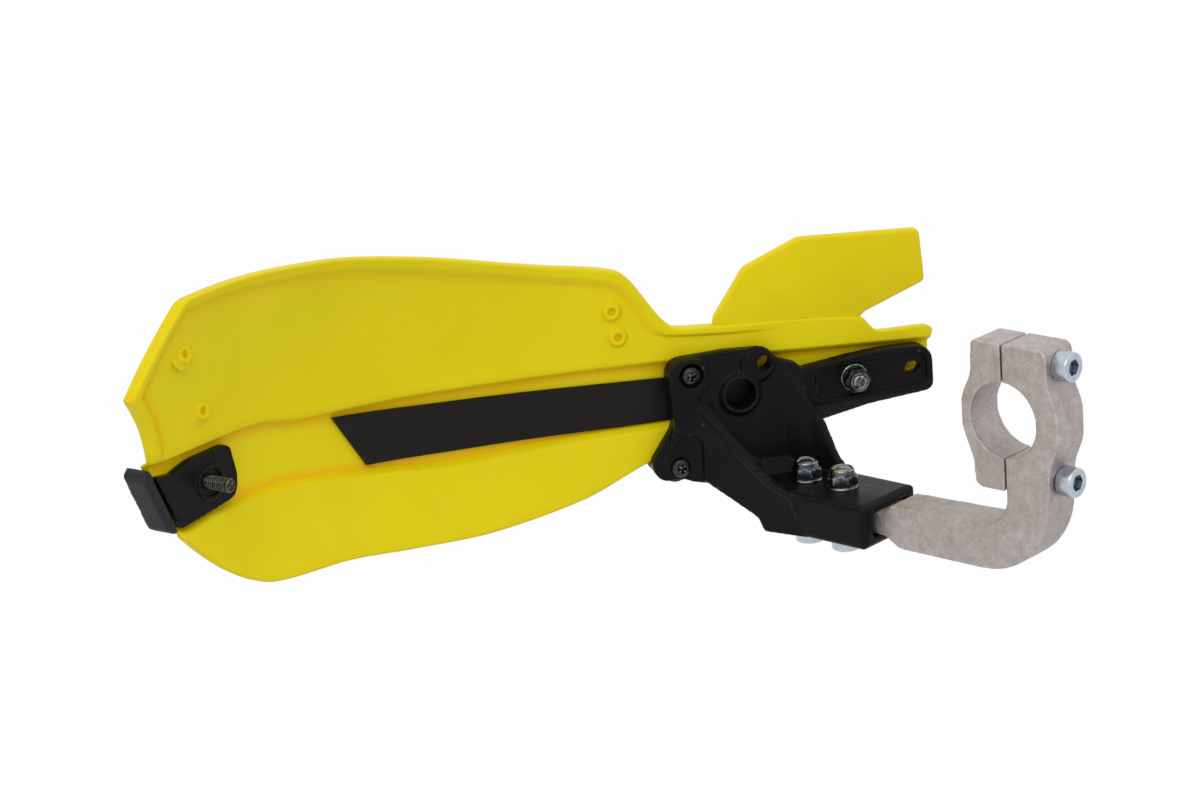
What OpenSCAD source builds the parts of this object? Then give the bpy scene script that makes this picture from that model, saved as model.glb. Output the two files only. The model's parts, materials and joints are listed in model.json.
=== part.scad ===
// Left-hand motorcycle hand guard: moulded shell and bracket on an alloy arm with a bar clamp.
// Frame: origin at the centre of the bar bore, +X inboard along the bar, +Y forward, +Z up. Sizes in mm.

/* [Bar clamp] */
// Handlebar diameter the clamp closes on
bar_d = 22.2; // [22.0:0.1:24.0]
// Width of the sawn arm and cap along the bar
clamp_w = 13; // [11:0.5:16]
// Gap left between the two clamp halves
split_gap = 0.5; // [0.3:0.1:1.6]
// Height of each clamp screw from the bar centre
screw_z = 16.8; // [16.5:0.1:18.5]
// Depth of the clamp half behind the bar centre
half_depth = 15.2; // [14.5:0.1:18]
// Depth of the clamp cap in front of the bar centre
cap_depth = 10.4; // [10:0.1:13]

/* [Alloy arm] */
// Height of the level arm's lower face under the bar centre
arm_drop = 45.6; // [44.4:0.1:48]
// Height of the level arm at its bend
arm_h = 14; // [12.6:0.1:15]
// How far the arm's top face falls from the bend to the tongue
arm_fall = 1.3; // [0:0.1:1.6]
// Radius of the arm's outer bend
bend_r = 23.5; // [18:0.5:25]
// Forward reach of the arm's tongue
arm_reach = 84.5; // [83:0.5:85.5]

/* [Bracket] */
// Forward distance of the socket's mouth
mouth_y = 46.6; // [44:0.1:52]
// Width of the arm socket
socket_w = 25; // [22:0.1:27]
// Distance between the two arm bolts
bolt_pitch = 13.6; // [12.6:0.1:14.4]
// Thickness of the base plate
plate_t = 4; // [3:0.1:5]
// Thickness of the two gusset walls
gusset_t = 2.4; // [2:0.1:3.2]
// Diameter of the large open boss on the base plate
ring_d = 13.6; // [12:0.1:14.4]

/* [Shell] */
// Distance along the wall from the bracket's edge to the shell's outer tip
shell_len = 220; // [200:1:240]
// Height of the shell's highest edge over the bar centre
shell_top = 61.7; // [55:0.1:68]
// Depth of the shell's lowest edge under the bar centre
shell_low = 36.9; // [34:0.1:40]
// Wall thickness of the moulded shell
shell_t = 3; // [2:0.1:3.6]
// Depth of the channel along the shell
channel_depth = 3; // [1.5:0.1:4]
// Width of the rolled rim
rim_w = 2.6; // [1.5:0.1:4]
// Height of the rolled rim over the inner face
rim_h = 1.4; // [0.6:0.1:2.2]
// Angle between the guard's straight part and the bar
spine_angle = 32; // [30:0.5:34]
// How far the outer end turns back toward the rider
wrap_angle = 40; // [30:1:46]
// Radius of the shell's vertical bulge over and under the channel
bulge_r = 105; // [90:5:200]
// Forward lean of the wing
wing_lean = 6; // [0:1:15]

/* [Bumper and strip] */
// Thickness of the front bumper
bumper_t = 5; // [4:0.1:7]
// Thickness of the inlaid strip
strip_t = 1.2; // [0.8:0.1:2]
// Thickness of the end tab
tab_t = 2.4; // [1.6:0.1:2.8]

/* [Fasteners] */
// Thread diameter of the clamp screws and arm bolts
thread_d = 5; // [4.8:0.1:5.2]
// Head diameter of the clamp screws
cap_head_d = 8.6; // [8.2:0.1:9]
// Head diameter of the cross-head screws
pan_head_d = 5.8; // [5.4:0.1:6.4]
// Width across flats of the nuts
nut_af = 8; // [7.6:0.1:8.4]

/* [Hidden] */
$fn = 48;
slack = 0.25;
half_gap = split_gap / 2;
half_socket = socket_w / 2;
arm_top = arm_h - arm_drop;
wall_anchor = [9, 90.5];
wall_step = 5;
channel_half = 9;
seat_gap = 0.15;
far = 120;

// Socket heights, the tongue that enters it and the bolt places
socket_top = -33;
socket_low = -46.2;
socket_wall = 4;
socket_end = 85;
mouth_depth = 5;
shoulder_y = 43;
tongue_top = -35.8;
tongue_low = -42.6;
bolt_y = [64, 64 + bolt_pitch];

// The lines below are drawn for these sizes and stretched to the ones asked for
drawn_len = 220;
drawn_top = 61.7;
drawn_low = 36.9;
fixed_len = 60;
function ease(t) = let (c = min(max(t, 0), 1)) c * c * (3 - 2 * c);
function reach(s) = s < fixed_len ? s
    : fixed_len + (s - fixed_len) * (shell_len - fixed_len) / (drawn_len - fixed_len);
function stretched(line, lift = 0, fade = 400) = [for (p = line)
    [reach(p[0]), p[1] + lift * ease((p[0] - 20) / 60) * ease((fade - p[0]) / 20)]];
function stretched_outline(outline) = [for (p = outline) [reach(p[0]), p[1], p[2]]];
wall_bend = [40, reach(215)];

// Shell lines as station along the wall and height, each a smooth line through a few points
top_line = stretched([[-47, 1.8], [-45.4, 3.5], [-29.5, 4], [-24, 9.4], [20, 13.6], [34, 15], [37, 17.5],
    [49, 33.8], [52, 35.2], [71, 40], [114, 51.6], [150, 58.6], [188, 61.7], [201.5, 61.3], [204, 60.3]],
    shell_top - drawn_top);
mid_line = stretched([[-46.8, 1.1], [-30, 2.4], [-22, 6], [20, 9], [40, 11.6], [60, 20.5], [100, 28],
    [150, 34.8], [205, 38], [220, 36.8]]);
upper_crease = stretched([[-46.4, 0], [10, 3.2], [36, 4.5], [95, 6.8], [115, 9.1], [153, 12.1], [173, 16],
    [204, 16.4], [212, 17]]);
lower_crease = stretched([[-45.8, -11.6], [10, -14.6], [40, -16], [97, -16], [142, -9.7], [165, -6.5],
    [188, -6.2], [200, -7.4], [203.6, -6.6]]);
bottom_line = stretched([[-45.6, -12.4], [-43, -14.6], [-20, -16], [20, -19.4], [42, -25], [66, -33.6],
    [84, -36], [100, -36.9], [122, -35.4], [146, -32.4], [164, -31.2], [174, -29.8], [182, -26.6],
    [190, -21.2], [198, -13.7], [203.6, -7.4]], drawn_low - shell_low, 206);
channel_line = stretched([[-47, -6], [40, -5.5], [100, -3], [150, 2], [215, 7.5]]);
strip_low = stretched([[2, -12.2], [37.6, -13.9], [97, -10.9], [132.2, -8.3]]);
strip_high = stretched([[2, -2], [36.5, -0.8], [142.3, 8.7]]);
bumper_low = stretched([[-44, -9.4], [10, -11.6], [41, -13], [97, -12.6], [142, -7], [165, -4],
    [188, -3.6], [205.4, -4.4]]);
bumper_high = stretched([[-44, -2.4], [10, 0.4], [36, 1.8], [95, 4.2], [115, 6.4], [153, 9.6],
    [173, 13], [204, 13.4], [213.6, 13.4]]);

// Outlines as station along the wall, height and corner radius
wing_outline = [[22, 12, 0], [21.3, 16, 3], [11.8, 30.1, 4], [-5.4, 37, 5], [-43.2, 34.4, 2],
    [-44.9, 17.6, 2], [-26, 10.6, 2], [-22.7, 8, 0]];
plate_outline = [[38.8, 6, 5], [20, 6.4, 0], [8.6, 5.6, 3], [3.4, 1.4, 3], [-3, -1.2, 2], [-3, -36, 2],
    [24, -34.5, 1], [29.6, -33.2, 1], [32.2, -32.6, 1.5], [35, -31.2, 2], [42.5, -31, 4.5],
    [45, -25.4, 4], [37.3, -14.6, 6]];
band_outline = [[38.8, 6, 5], [26.4, 6, 3], [26.2, -3.6, 3], [30, -6, 0], [26.6, -19, 0], [25.4, -31, 0],
    [26.4, -32.6, 0], [29.4, -32.8, 1], [29.1, -20, 1.5], [33, -16.4, 3], [36.6, -18.6, 3],
    [39.9, -21, 0.5], [37.3, -14.6, 6]];
strip_arm_outline = [[-2, -2.8, 0], [-9.7, -2, 8], [-19, -1, 20], [-30, -0.4, 20], [-44.4, -0.9, 5],
    [-44.4, -15.2, 3], [-24, -17, 20], [-2, -21.8, 0]];
strip_arm_pocket = [[-7, -3.6, 3], [-42.4, -2.6, 3.4], [-42.4, -12.8, 2], [-7, -13.2, 3]];
tab_outline = stretched_outline([[210.8, 12.2, 0.6], [204.7, 11.3, 4], [197, 13, 8], [181.4, 13, 3],
    [179.4, 3.5, 12], [180.4, -2.6, 4], [193.3, -4, 8], [203.2, -4.9, 0.6]]);
end_outline = stretched_outline([[213, 15.4, 0.8], [216, 13.9, 2], [208.4, -4.2, 2.4], [206, -5.6, 0.8],
    [204.4, -5.4, 0.6], [211.6, 12, 0]]);
lug_outline = [[29, -32, 4], [27, -12, 0], [45, -12, 0], [44, -26, 5], [38, -33.4, 5]];
pad_outline = [[29, -32, 4], [29, -24.6, 2], [43, -26.4, 2], [44, -28, 3], [38, -33.4, 5]];

// Where the fasteners and bosses meet the wall
upper_screw_at = [31.3, 0.9];
lower_screw_at = [36.2, -27.1];
ring_at = [16.4, -7.1];
small_boss_at = [10.5, 1.2];
small_hole_at = [8.4, 1.4];
strip_bolt_at = [-19.5, -7.7];
hex_hole_at = [-38.3, -7.7];
end_screw_at = [reach(191), 4.8];
shell_bosses = [[reach(199.9), 44.4], [reach(191.8), 25.7], [52.9, 22.8], [51.5, 14.7]];

// Fastener sizes that other pieces are cut for
screw_d = 3.2;
screw_room = 1;
end_screw_d = 4;
end_head_d = 7.6;
strip_d = 4;
strip_nut_af = 7;
strip_head_d = 7.8;
head_sink = 2.4;
insert_d = 5.2;
insert_h = 5.5;
washer_t = 1;
strip_nut_h = 3.8;
nut_h = 4.4;
collar_h = 1.6;

// Plan curve of the wall, as a walk of short steps from the bracket outward
function wall_angle(s) = 180 - spine_angle
    + wrap_angle * ease((s - wall_bend[0]) / (wall_bend[1] - wall_bend[0]));
wall_walk = [for (i = 0, p = [0, 0]; i <= 52;
    p = p + wall_step * [cos(wall_angle((i + 0.5) * wall_step)), sin(wall_angle((i + 0.5) * wall_step))],
    i = i + 1) p];
wall_xs = [for (i = [0 : len(wall_walk) - 1]) [i * wall_step, wall_walk[i][0]]];
wall_ys = [for (i = [0 : len(wall_walk) - 1]) [i * wall_step, wall_walk[i][1]]];
function wall_xy(s) = wall_anchor + (s < 0
    ? s * [cos(wall_angle(0)), sin(wall_angle(0))]
    : [lookup(s, wall_xs), lookup(s, wall_ys)]);
function flat_seat(s) = ease((s - 44) / 50);
function over_channel(s, z) = z - lookup(s, channel_line);
function past_channel(s, z) = max(0, abs(over_channel(s, z)) - channel_half);
function bulge(s, z) = -flat_seat(s) * pow(past_channel(s, z), 2) / (2 * bulge_r);
function bulge_lean(s, z) = atan(flat_seat(s) * sign(over_channel(s, z)) * past_channel(s, z) / bulge_r);
function wall_point(s, z, f) = let (a = wall_angle(s),
        q = wall_xy(s) + (f + bulge(s, z)) * [sin(a), -cos(a)])
    [q[0], q[1], z];

function wall_plan(s, f) = xy(wall_point(s, 0, f));

// Smooth line through hand-set points, with no overshoot between them
function slope(line, i) = (line[i + 1][1] - line[i][1]) / (line[i + 1][0] - line[i][0]);
function tangent(line, i) = i == 0 ? slope(line, 0) : i == len(line) - 1 ? slope(line, i - 1)
    : let (a = slope(line, i - 1), b = slope(line, i)) a * b <= 0 ? 0 : 2 * a * b / (a + b);
function segment(line, s, i = 0) = i >= len(line) - 2 || s < line[i + 1][0] ? i : segment(line, s, i + 1);
function height(line, s) = let (i = segment(line, s), w = line[i + 1][0] - line[i][0],
        t = min(max((s - line[i][0]) / w, 0), 1))
    line[i][1] * (1 + 2 * t) * (1 - t) * (1 - t) + line[i + 1][1] * t * t * (3 - 2 * t)
    + w * t * (1 - t) * (tangent(line, i) * (1 - t) - tangent(line, i + 1) * t);
function line_at(line, t) = let (s = between(line[len(line) - 1][0], line[0][0], t)) [s, height(line, s)];
function between(a, b, v) = a + (b - a) * v;

// Children drawn with x along the wall, y up and z forward through it
module on_wall(p, f = 0) {
    a = wall_angle(p[0]);
    q = wall_xy(p[0]);
    translate([q[0], q[1], 0]) rotate([90, 0, a]) translate([-p[0], 0, f]) children();
}

module on_wall_at(p, f = 0, tilt = 0) {
    on_wall(p, f) translate([p[0], p[1], 0]) rotate([tilt, 0, 0]) children();
}

// Children drawn with x forward, y up and z inboard along the bar
module across_bar(x0) {
    translate([x0, 0, 0]) rotate([90, 0, 90]) children();
}

// Polygon corners replaced by short arcs
function unit(v) = v / norm(v);
function turn(a) = a > 180 ? a - 360 : a < -180 ? a + 360 : a;
function xy(p) = [p[0], p[1]];
function corner(a, b, c, r, n) = let (u = unit(a - b), v = unit(c - b), half = acos(u * v) / 2,
        t = min(r / tan(half), 0.49 * min(norm(a - b), norm(c - b))), rr = t * tan(half),
        o = b + unit(u + v) * rr / sin(half), p = b + u * t - o, q = b + v * t - o,
        a1 = atan2(p[1], p[0]), da = turn(atan2(q[1], q[0]) - a1))
    [for (k = [0 : n]) o + rr * [cos(a1 + da * k / n), sin(a1 + da * k / n)]];
function rounded(pts, n = 6) = let (m = len(pts)) [for (i = [0 : m - 1])
    each (pts[i][2] > 0 ? corner(xy(pts[(i + m - 1) % m]), xy(pts[i]), xy(pts[(i + 1) % m]), pts[i][2], n)
        : [xy(pts[i])])];
function arc(centre, r, from, to, n) = [for (k = [0 : n]) let (a = from + (to - from) * k / n)
    [centre[0] + r * cos(a), centre[1] + r * sin(a), 0]];

// Skin through closed loops, each loop made of two matching rows of points
module skin(loops) {
    n = len(loops);
    c = len(loops[0]);
    h = c / 2;
    sides = [for (i = [0 : n - 2], j = [0 : c - 1]) let (k = (j + 1) % c)
        each [[i * c + j, (i + 1) * c + k, (i + 1) * c + j], [i * c + j, i * c + k, (i + 1) * c + k]]];
    first = [for (k = [0 : h - 2]) each [[k, c - 2 - k, k + 1], [k, c - 1 - k, c - 2 - k]]];
    b = (n - 1) * c;
    last = [for (k = [0 : h - 2])
        each [[b + k, b + k + 1, b + c - 2 - k], [b + k, b + c - 2 - k, b + c - 1 - k]]];
    polyhedron(points = [for (loop = loops, p = loop) p], faces = concat(sides, first, last),
        convexity = 8);
}

// Shell grid, with rows across the wall and stations from the outer end to the bracket
shell_run = shell_len + 50;
grid_start = 18;
grid_cells = 58;
shell_stations = concat([0, rim_w, rim_w + 1.4, 8, 13],
    [for (i = [0 : grid_cells]) grid_start + i * (shell_run - grid_start - 1) / grid_cells], [shell_run]);
crease_run = 1.8;
wing_foot = 13;
function rim_up(d) = rim_h * (1 - ease((d - rim_w) / 1.4));

function shell_rows(d) = let (t = d / shell_run,
        low = line_at(bottom_line, t), crease = line_at(lower_crease, t), high = line_at(upper_crease, t),
        mid = line_at(mid_line, t), top = line_at(top_line, t),
        e = min(0.3, crease_run / norm(high - crease)),
        r1 = max(0.5, 1 - (rim_w + 1.4) / norm(top - mid)), r2 = max(0.65, 1 - rim_w / norm(top - mid)),
        side = rim_up(d), flap = 0.07 * flat_seat(crease[0]), rim = rim_h * ease((top[0] + 4) / 30))
    concat(
        [for (v = [0, 0.25, 0.6, 1]) let (p = between(low, crease, v)) [p, -flap * (crease[1] - p[1]), 0]],
        [for (v = [e, 0.5, 1 - e]) [between(crease, high, v), channel_depth, 0]],
        [for (v = [0, 0.5]) [between(high, mid, v), 0, side]],
        [for (v = [0, 0.45, r1]) [between(mid, top, v), 0, side]],
        [for (v = [r2, 1]) [between(mid, top, v), 0, max(rim, side)]]);
function shell_loop(d) = let (rows = shell_rows(d), m = len(rows))
    concat([for (r = rows) wall_point(r[0][0], r[0][1], r[1] - r[2])],
        [for (k = [m - 1 : -1 : 0]) wall_point(rows[k][0][0], rows[k][0][1], rows[k][1] + shell_t)]);

module wall_bore(p, d) {
    on_wall_at(p, -20) cylinder(h = 50, d = d);
}

module shell() {
    color("gold") difference() {
        union() {
            skin([for (d = shell_stations) shell_loop(d)]);
            on_wall([0, 0], 0) translate([0, wing_foot, 0]) rotate([-wing_lean, 0, 0])
                translate([0, -wing_foot, 0]) linear_extrude(height = shell_t)
                    polygon(rounded(wing_outline));
            for (p = shell_bosses) shell_boss(p) translate([0, 0, -1.6]) cylinder(h = 3, d = 6.4);
        }
        for (p = shell_bosses) shell_boss(p) translate([0, 0, -2]) cylinder(h = 3.2, d = 2.6);
        wall_bore(upper_screw_at, screw_d + screw_room);
        wall_bore(strip_bolt_at, strip_d + 0.6);
        wall_bore(end_screw_at, end_screw_d + 0.6);
    }
}

module shell_boss(p) {
    on_wall_at(p, bulge(p[0], p[1]), bulge_lean(p[0], p[1])) children();
}

// Curved bar along the wall between two lines, cut back at its front edges
module wall_bar(stations, low, high, near, thick, cut, slim = 1) {
    skin([for (t = stations) let (far = near + thick * min(1, slim + 8 * t), a = line_at(low, t),
            b = line_at(high, t), w = (b - a) / norm(b - a) * cut)
        [wall_point(a[0], a[1], near), wall_point(b[0], b[1], near),
            wall_point(b[0], b[1], far - cut), wall_point(b[0] - w[0], b[1] - w[1], far),
            wall_point(a[0] + w[0], a[1] + w[1], far), wall_point(a[0], a[1], far - cut)]]);
}

module spine_strip() {
    color("dimgray") difference() {
        wall_bar([for (i = [0 : 24]) i / 24], strip_low, strip_high, channel_depth - strip_t - seat_gap,
            strip_t, 0.2);
        wall_bore(upper_screw_at, screw_d + screw_room);
    }
}

bumper_near = channel_depth + shell_t + seat_gap;
bumper_face = bumper_near + bumper_t;
end_slim = 0.45;

module front_bumper() {
    color("darkslategray") difference() {
        union() {
            wall_bar([for (i = [0 : 46]) i / 46], bumper_low, bumper_high, bumper_near, bumper_t, 2,
                end_slim);
            on_wall([reach(206), 0], 0.5) linear_extrude(height = bumper_near + bumper_t * end_slim - 0.5)
                polygon(rounded(end_outline));
            on_wall([0, 0], bumper_near + 0.3) linear_extrude(height = bumper_t - 1.8)
                polygon(rounded(lug_outline));
            on_wall([0, 0], 0) linear_extrude(height = bumper_near + 0.5) polygon(rounded(pad_outline));
        }
        on_wall_at(upper_screw_at, bumper_near - 1) cylinder(h = insert_h + 1, d = insert_d);
        on_wall_at(lower_screw_at, -1) cylinder(h = insert_h + 1, d = insert_d);
        wall_bore(strip_bolt_at, strip_d + 0.4);
        on_wall_at(strip_bolt_at, bumper_face - head_sink) cylinder(h = 10, d = strip_head_d + 1);
        wall_bore(end_screw_at, end_screw_d + 0.4);
        on_wall_at(end_screw_at, bumper_face - head_sink) cylinder(h = 10, d = end_head_d + 0.8);
    }
}

// End tab seated in the channel, with a raised ring round the screw's end
module end_tab() {
    color("black") difference() {
        union() {
            on_wall([end_screw_at[0], 0], channel_depth - tab_t - 0.45) linear_extrude(height = tab_t)
                polygon(rounded(tab_outline));
            on_wall_at(end_screw_at, channel_depth - tab_t - 1.6) cylinder(h = 2, d = 10.4);
        }
        wall_bore(end_screw_at, end_screw_d);
        on_wall_at(end_screw_at, channel_depth - tab_t - 2.4) cylinder(h = 2, d = 8);
    }
}

// Moulded bracket: base plate with its raised side band, two gussets, arm socket and strip arm
band_t = 2;
ring_t = 2;
boss_t = 1.6;
arm_rise = 1.2;

module bracket_plate() {
    on_wall([0, 0], -plate_t) linear_extrude(height = plate_t) polygon(rounded(plate_outline));
    on_wall([0, 0], -plate_t - band_t) linear_extrude(height = band_t + 1) polygon(rounded(band_outline));
    on_wall_at(ring_at, -plate_t - ring_t) cylinder(h = ring_t, d1 = ring_d - 2.4, d2 = ring_d);
    on_wall_at(small_boss_at, -plate_t - boss_t) cylinder(h = boss_t, d1 = ring_d - 4, d2 = ring_d - 2.1);
}

module strip_arm() {
    difference() {
        on_wall([0, 0], -plate_t - arm_rise) linear_extrude(height = plate_t + arm_rise)
            polygon(rounded(strip_arm_outline));
        on_wall([0, 0], -plate_t - 4) linear_extrude(height = 4) polygon(rounded(strip_arm_pocket));
        on_wall([0, 0], -plate_t - arm_rise) translate([0, -14.4, 0]) rotate([-28, 0, 0])
            translate([-far / 2, -far / 4, -far / 6]) cube([far, far / 4, far / 6]);
    }
}

// Side profiles as forward distance and height, cut from upright leaves that flare outboard
gusset_y = 71.3;
flare_in = 13.3;
flare_low = 9.5;
flare_high = 16.5;
lean_high = 7.5;
bead = 0.5;
floor_t = 3;
gusset_out = [[gusset_y - 2, socket_top - 0.6], [75.5, -32.3], [80.1, -30.2], [89.8, -22], [97.5, -12.5],
    [104.8, -3], [110, -3], [110, -33.3], [101.7, -33.3], [94.1, -37.3], [85.3, -42], [83.6, -45.2],
    [82.6, socket_low], [gusset_y - 2, socket_low]];
gusset_bead = [[71.7, -39.8], [71.8, -34.4], [73.6, socket_top], [75.5, -32.3], [80.1, -30.2],
    [89.8, -22], [97.5, -12.5], [104.8, -3], [105.9, -3.9], [98.6, -13.3], [90.6, -23], [80.7, -31.5],
    [75.8, -33.8], [73.2, -35.6]];
floor_side = [[gusset_y, socket_top], [110, socket_top], [110, -33.3], [101.7, -33.3],
    [96.6, socket_top - floor_t], [gusset_y, socket_top - floor_t]];
gusset_in = [[gusset_y, socket_top + 0.6], [74.2, -28.4], [77.8, -18.9], [82.4, -10.8], [86.9, -3],
    [92, -3], [92, socket_low], [gusset_y, socket_low]];

module side_cut(profile) {
    across_bar(-far / 2) linear_extrude(height = far) polygon(profile);
}

module leaf(x, y, flare, lean = 0) {
    translate([x, y, -3.2]) rotate([0, -lean, flare]) translate([0, -8, -far / 2])
        cube([gusset_t, 50, far]);
}

module outer_leaves() {
    leaf(-half_socket, gusset_y, flare_low);
    intersection() {
        leaf(-half_socket, gusset_y + 2.7, flare_high, lean_high);
        side_cut([[86, 4], [112, 4], [112, socket_low], [86, socket_low]]);
    }
}

module outer_gusset() {
    intersection() {
        side_cut(gusset_out);
        outer_leaves();
    }
    intersection() {
        side_cut(gusset_bead);
        translate([-bead, 0, 0]) outer_leaves();
    }
}

module inner_gusset() {
    intersection() {
        side_cut(gusset_in);
        union() {
            translate([half_socket, gusset_y, 0]) rotate([0, 0, flare_in])
                translate([-gusset_t, -8, -far / 2]) cube([gusset_t, 50, far]);
            translate([0, 0, -far / 2]) linear_extrude(height = far)
                polygon([wall_plan(3, -plate_t), wall_plan(3, 0.5 - plate_t),
                    wall_plan(-1.5, 0.5 - plate_t), wall_plan(-5, -plate_t - 4.4),
                    wall_plan(-3.8, -plate_t - 4.6)]);
        }
    }
}

// Arm socket with rounded long edges and a rounded mouth, and the floor from it to the plate
module socket_block() {
    low = socket_low;
    top = socket_top;
    w = half_socket;
    intersection() {
        translate([0, 0, low]) linear_extrude(height = top - low) polygon(rounded([[-w, mouth_y, 2],
            [-w, socket_end, 0], [w - 3.2, socket_end, 0], [w, gusset_y, 0], [w, mouth_y, 2]]));
        translate([0, socket_end, 0]) rotate([90, 0, 0]) linear_extrude(height = far)
            polygon(rounded([[-w, top, 1.6], [-w, low, 1.6], [w, low, 1.6], [w, top, 1.6]]));
        side_cut(rounded([[mouth_y, top, 2], [mouth_y, low, 2], [far, low, 0], [far, top, 0]]));
    }
}

module bracket_body() {
    socket_block();
    outer_gusset();
    inner_gusset();
    intersection() {
        side_cut(floor_side);
        translate([0, 0, socket_top - floor_t]) linear_extrude(height = floor_t)
            polygon([[-half_socket + 0.8, gusset_y], [half_socket - 1.6, gusset_y], [8, 87.5],
                [-17.6, 103.4]]);
    }
    on_wall([0, 0], 0) rotate([0, 90, 0]) linear_extrude(height = 26)
        polygon([[plate_t - 0.5, -28.6], [plate_t - 0.5, socket_top - 1], [plate_t + 5, socket_top - 1]]);
}

module mount_bracket() {
    cavity_h = tongue_top - tongue_low + 2 * slack;
    mouth_half = half_socket - socket_wall;
    color("black") difference() {
        union() {
            bracket_plate();
            strip_arm();
            bracket_body();
        }
        translate([-clamp_w / 2 - slack, mouth_y - 1, tongue_low - slack])
            cube([clamp_w + 2 * slack, arm_reach + 1.6 - mouth_y, cavity_h]);
        translate([-mouth_half, mouth_y - 1, tongue_low - 2 * slack])
            cube([2 * mouth_half, mouth_depth + 1, cavity_h + 2 * slack]);
        for (y = bolt_y) translate([0, y, -far / 2]) cylinder(h = far / 2, d = thread_d + 0.5);
        wall_bore(upper_screw_at, screw_d + 0.6);
        wall_bore(lower_screw_at, screw_d + 0.6);
        for (p = [upper_screw_at, lower_screw_at])
            on_wall_at(p, -plate_t - band_t - 2) cylinder(h = band_t + 2, d = pan_head_d + 1.6);
        wall_bore(ring_at, ring_d - 4.2);
        wall_bore(small_hole_at, 4.6);
        wall_bore(strip_bolt_at, strip_d + 0.4);
        on_wall_at(hex_hole_at, -20) scale([1.25, 1, 1]) cylinder(h = 40, d = 4.2, $fn = 6);
        on_wall([0, 0], 0) translate([-far / 2, -far / 2, 0]) cube([far, far, far / 4]);
    }
}

// Alloy arm sawn from one profile, with the rear half of the clamp
bend_y = 0.8 - half_depth;
arm_outline = concat([[-half_gap, 22.3, 0.8], [-half_depth, 22.3, 2.6], [-half_depth, 12, 8],
    [-half_depth - 3.1, 4.5, 13], [-half_depth - 3.1, -5, 13], [-half_depth, -12.4, 8]],
    arc([bend_y + bend_r, bend_r - arm_drop], bend_r, 180, 270, 12),
    [[shoulder_y - 4, -arm_drop, 4], [shoulder_y + 1, tongue_low, 2],
    [arm_reach, tongue_low, 1.5], [arm_reach, tongue_top, 1.5], [shoulder_y + 2, tongue_top, 2],
    [shoulder_y - 1.5, arm_top - arm_fall, 1.5], [-half_gap, arm_top, 9]]);
cap_outline = [[half_gap, 22.3, 0.6], [cap_depth - 0.2, 22.3, 1.5], [cap_depth + 0.4, 12, 8],
    [cap_depth + 3.9, 5, 12], [cap_depth + 3.9, -3.5, 12], [cap_depth + 0.3, -13, 8],
    [cap_depth - 0.2, -20.9, 2.5], [half_gap, -20.9, 0.6]];

module clamp_bore() {
    across_bar(-30) cylinder(h = 60, d = bar_d, $fn = 96);
}

module clamp_arm() {
    color("silver") difference() {
        across_bar(-clamp_w / 2) linear_extrude(height = clamp_w) polygon(rounded(arm_outline, 9));
        clamp_bore();
        for (z = [screw_z, -screw_z]) translate([0, -40, z]) rotate([-90, 0, 0]) {
            cylinder(h = 60, d = thread_d + 0.5);
            cylinder(h = 40 - half_depth, d = cap_head_d + 0.8);
        }
        for (y = bolt_y) translate([0, y, -far / 2]) cylinder(h = far / 2, d = thread_d + 0.5);
    }
}

module clamp_cap() {
    color("silver") difference() {
        across_bar(-clamp_w / 2) linear_extrude(height = clamp_w) polygon(rounded(cap_outline, 9));
        clamp_bore();
        for (z = [screw_z, -screw_z]) translate([0, -1, z]) rotate([-90, 0, 0])
            cylinder(h = 40, d = thread_d);
    }
}

// Fasteners, drawn with the head at the origin and the shank along +z
module socket_screw(d, length, head_d) {
    color("lightgray") difference() {
        union() {
            cylinder(h = length, d = d);
            translate([0, 0, -d]) cylinder(h = d, d = head_d);
        }
        translate([0, 0, -d - 1]) cylinder(h = 1 + d * 0.5, d = d * 0.92, $fn = 6);
    }
}

module clamp_screw(z) {
    translate([0, -half_depth, z]) rotate([-90, 0, 0])
        socket_screw(thread_d, half_depth + cap_depth - 1.6, cap_head_d);
}

module clamp_screw_upper() { clamp_screw(screw_z); }
module clamp_screw_lower() { clamp_screw(-screw_z); }

bolt_len = socket_top - socket_low + washer_t + 5.8;

module washer(d, bore, h) {
    color("lightgray") difference() {
        cylinder(h = h, d = d);
        translate([0, 0, -1]) cylinder(h = h + 2, d = bore);
    }
}

module arm_bolt(y) {
    translate([0, y, socket_low - washer_t]) socket_screw(thread_d, bolt_len, cap_head_d);
}

module arm_washer(y) {
    translate([0, y, socket_low - washer_t]) washer(10, thread_d + 0.3, washer_t);
}

module arm_washer_rear() { arm_washer(bolt_y[0]); }
module arm_washer_front() { arm_washer(bolt_y[1]); }

module arm_bolt_rear() { arm_bolt(bolt_y[0]); }
module arm_bolt_front() { arm_bolt(bolt_y[1]); }

module hex_nut(af, h, flange_d, bore) {
    difference() {
        union() {
            intersection() {
                cylinder(h = h, d = af / cos(30), $fn = 6);
                cylinder(h = h, d1 = af * 1.2, d2 = af * 1.06);
            }
            cylinder(h = 1, d = flange_d);
        }
        translate([0, 0, -1]) cylinder(h = h + 2, d = bore);
    }
}

module arm_nut(y) {
    translate([0, y, socket_top]) color("lightgray") {
        hex_nut(nut_af, nut_h, nut_af * 1.2, thread_d);
        translate([0, 0, nut_h]) difference() {
            cylinder(h = collar_h, d1 = nut_af * 1.02, d2 = nut_af * 0.86);
            translate([0, 0, -1]) cylinder(h = collar_h + 2, d = thread_d + 1.2);
        }
    }
}

module lock_ring(y) {
    translate([0, y, socket_top + nut_h]) color("white") difference() {
        cylinder(h = collar_h - 0.3, d = thread_d + 1.2);
        translate([0, 0, -1]) cylinder(h = collar_h + 1, d = thread_d);
    }
}

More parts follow.
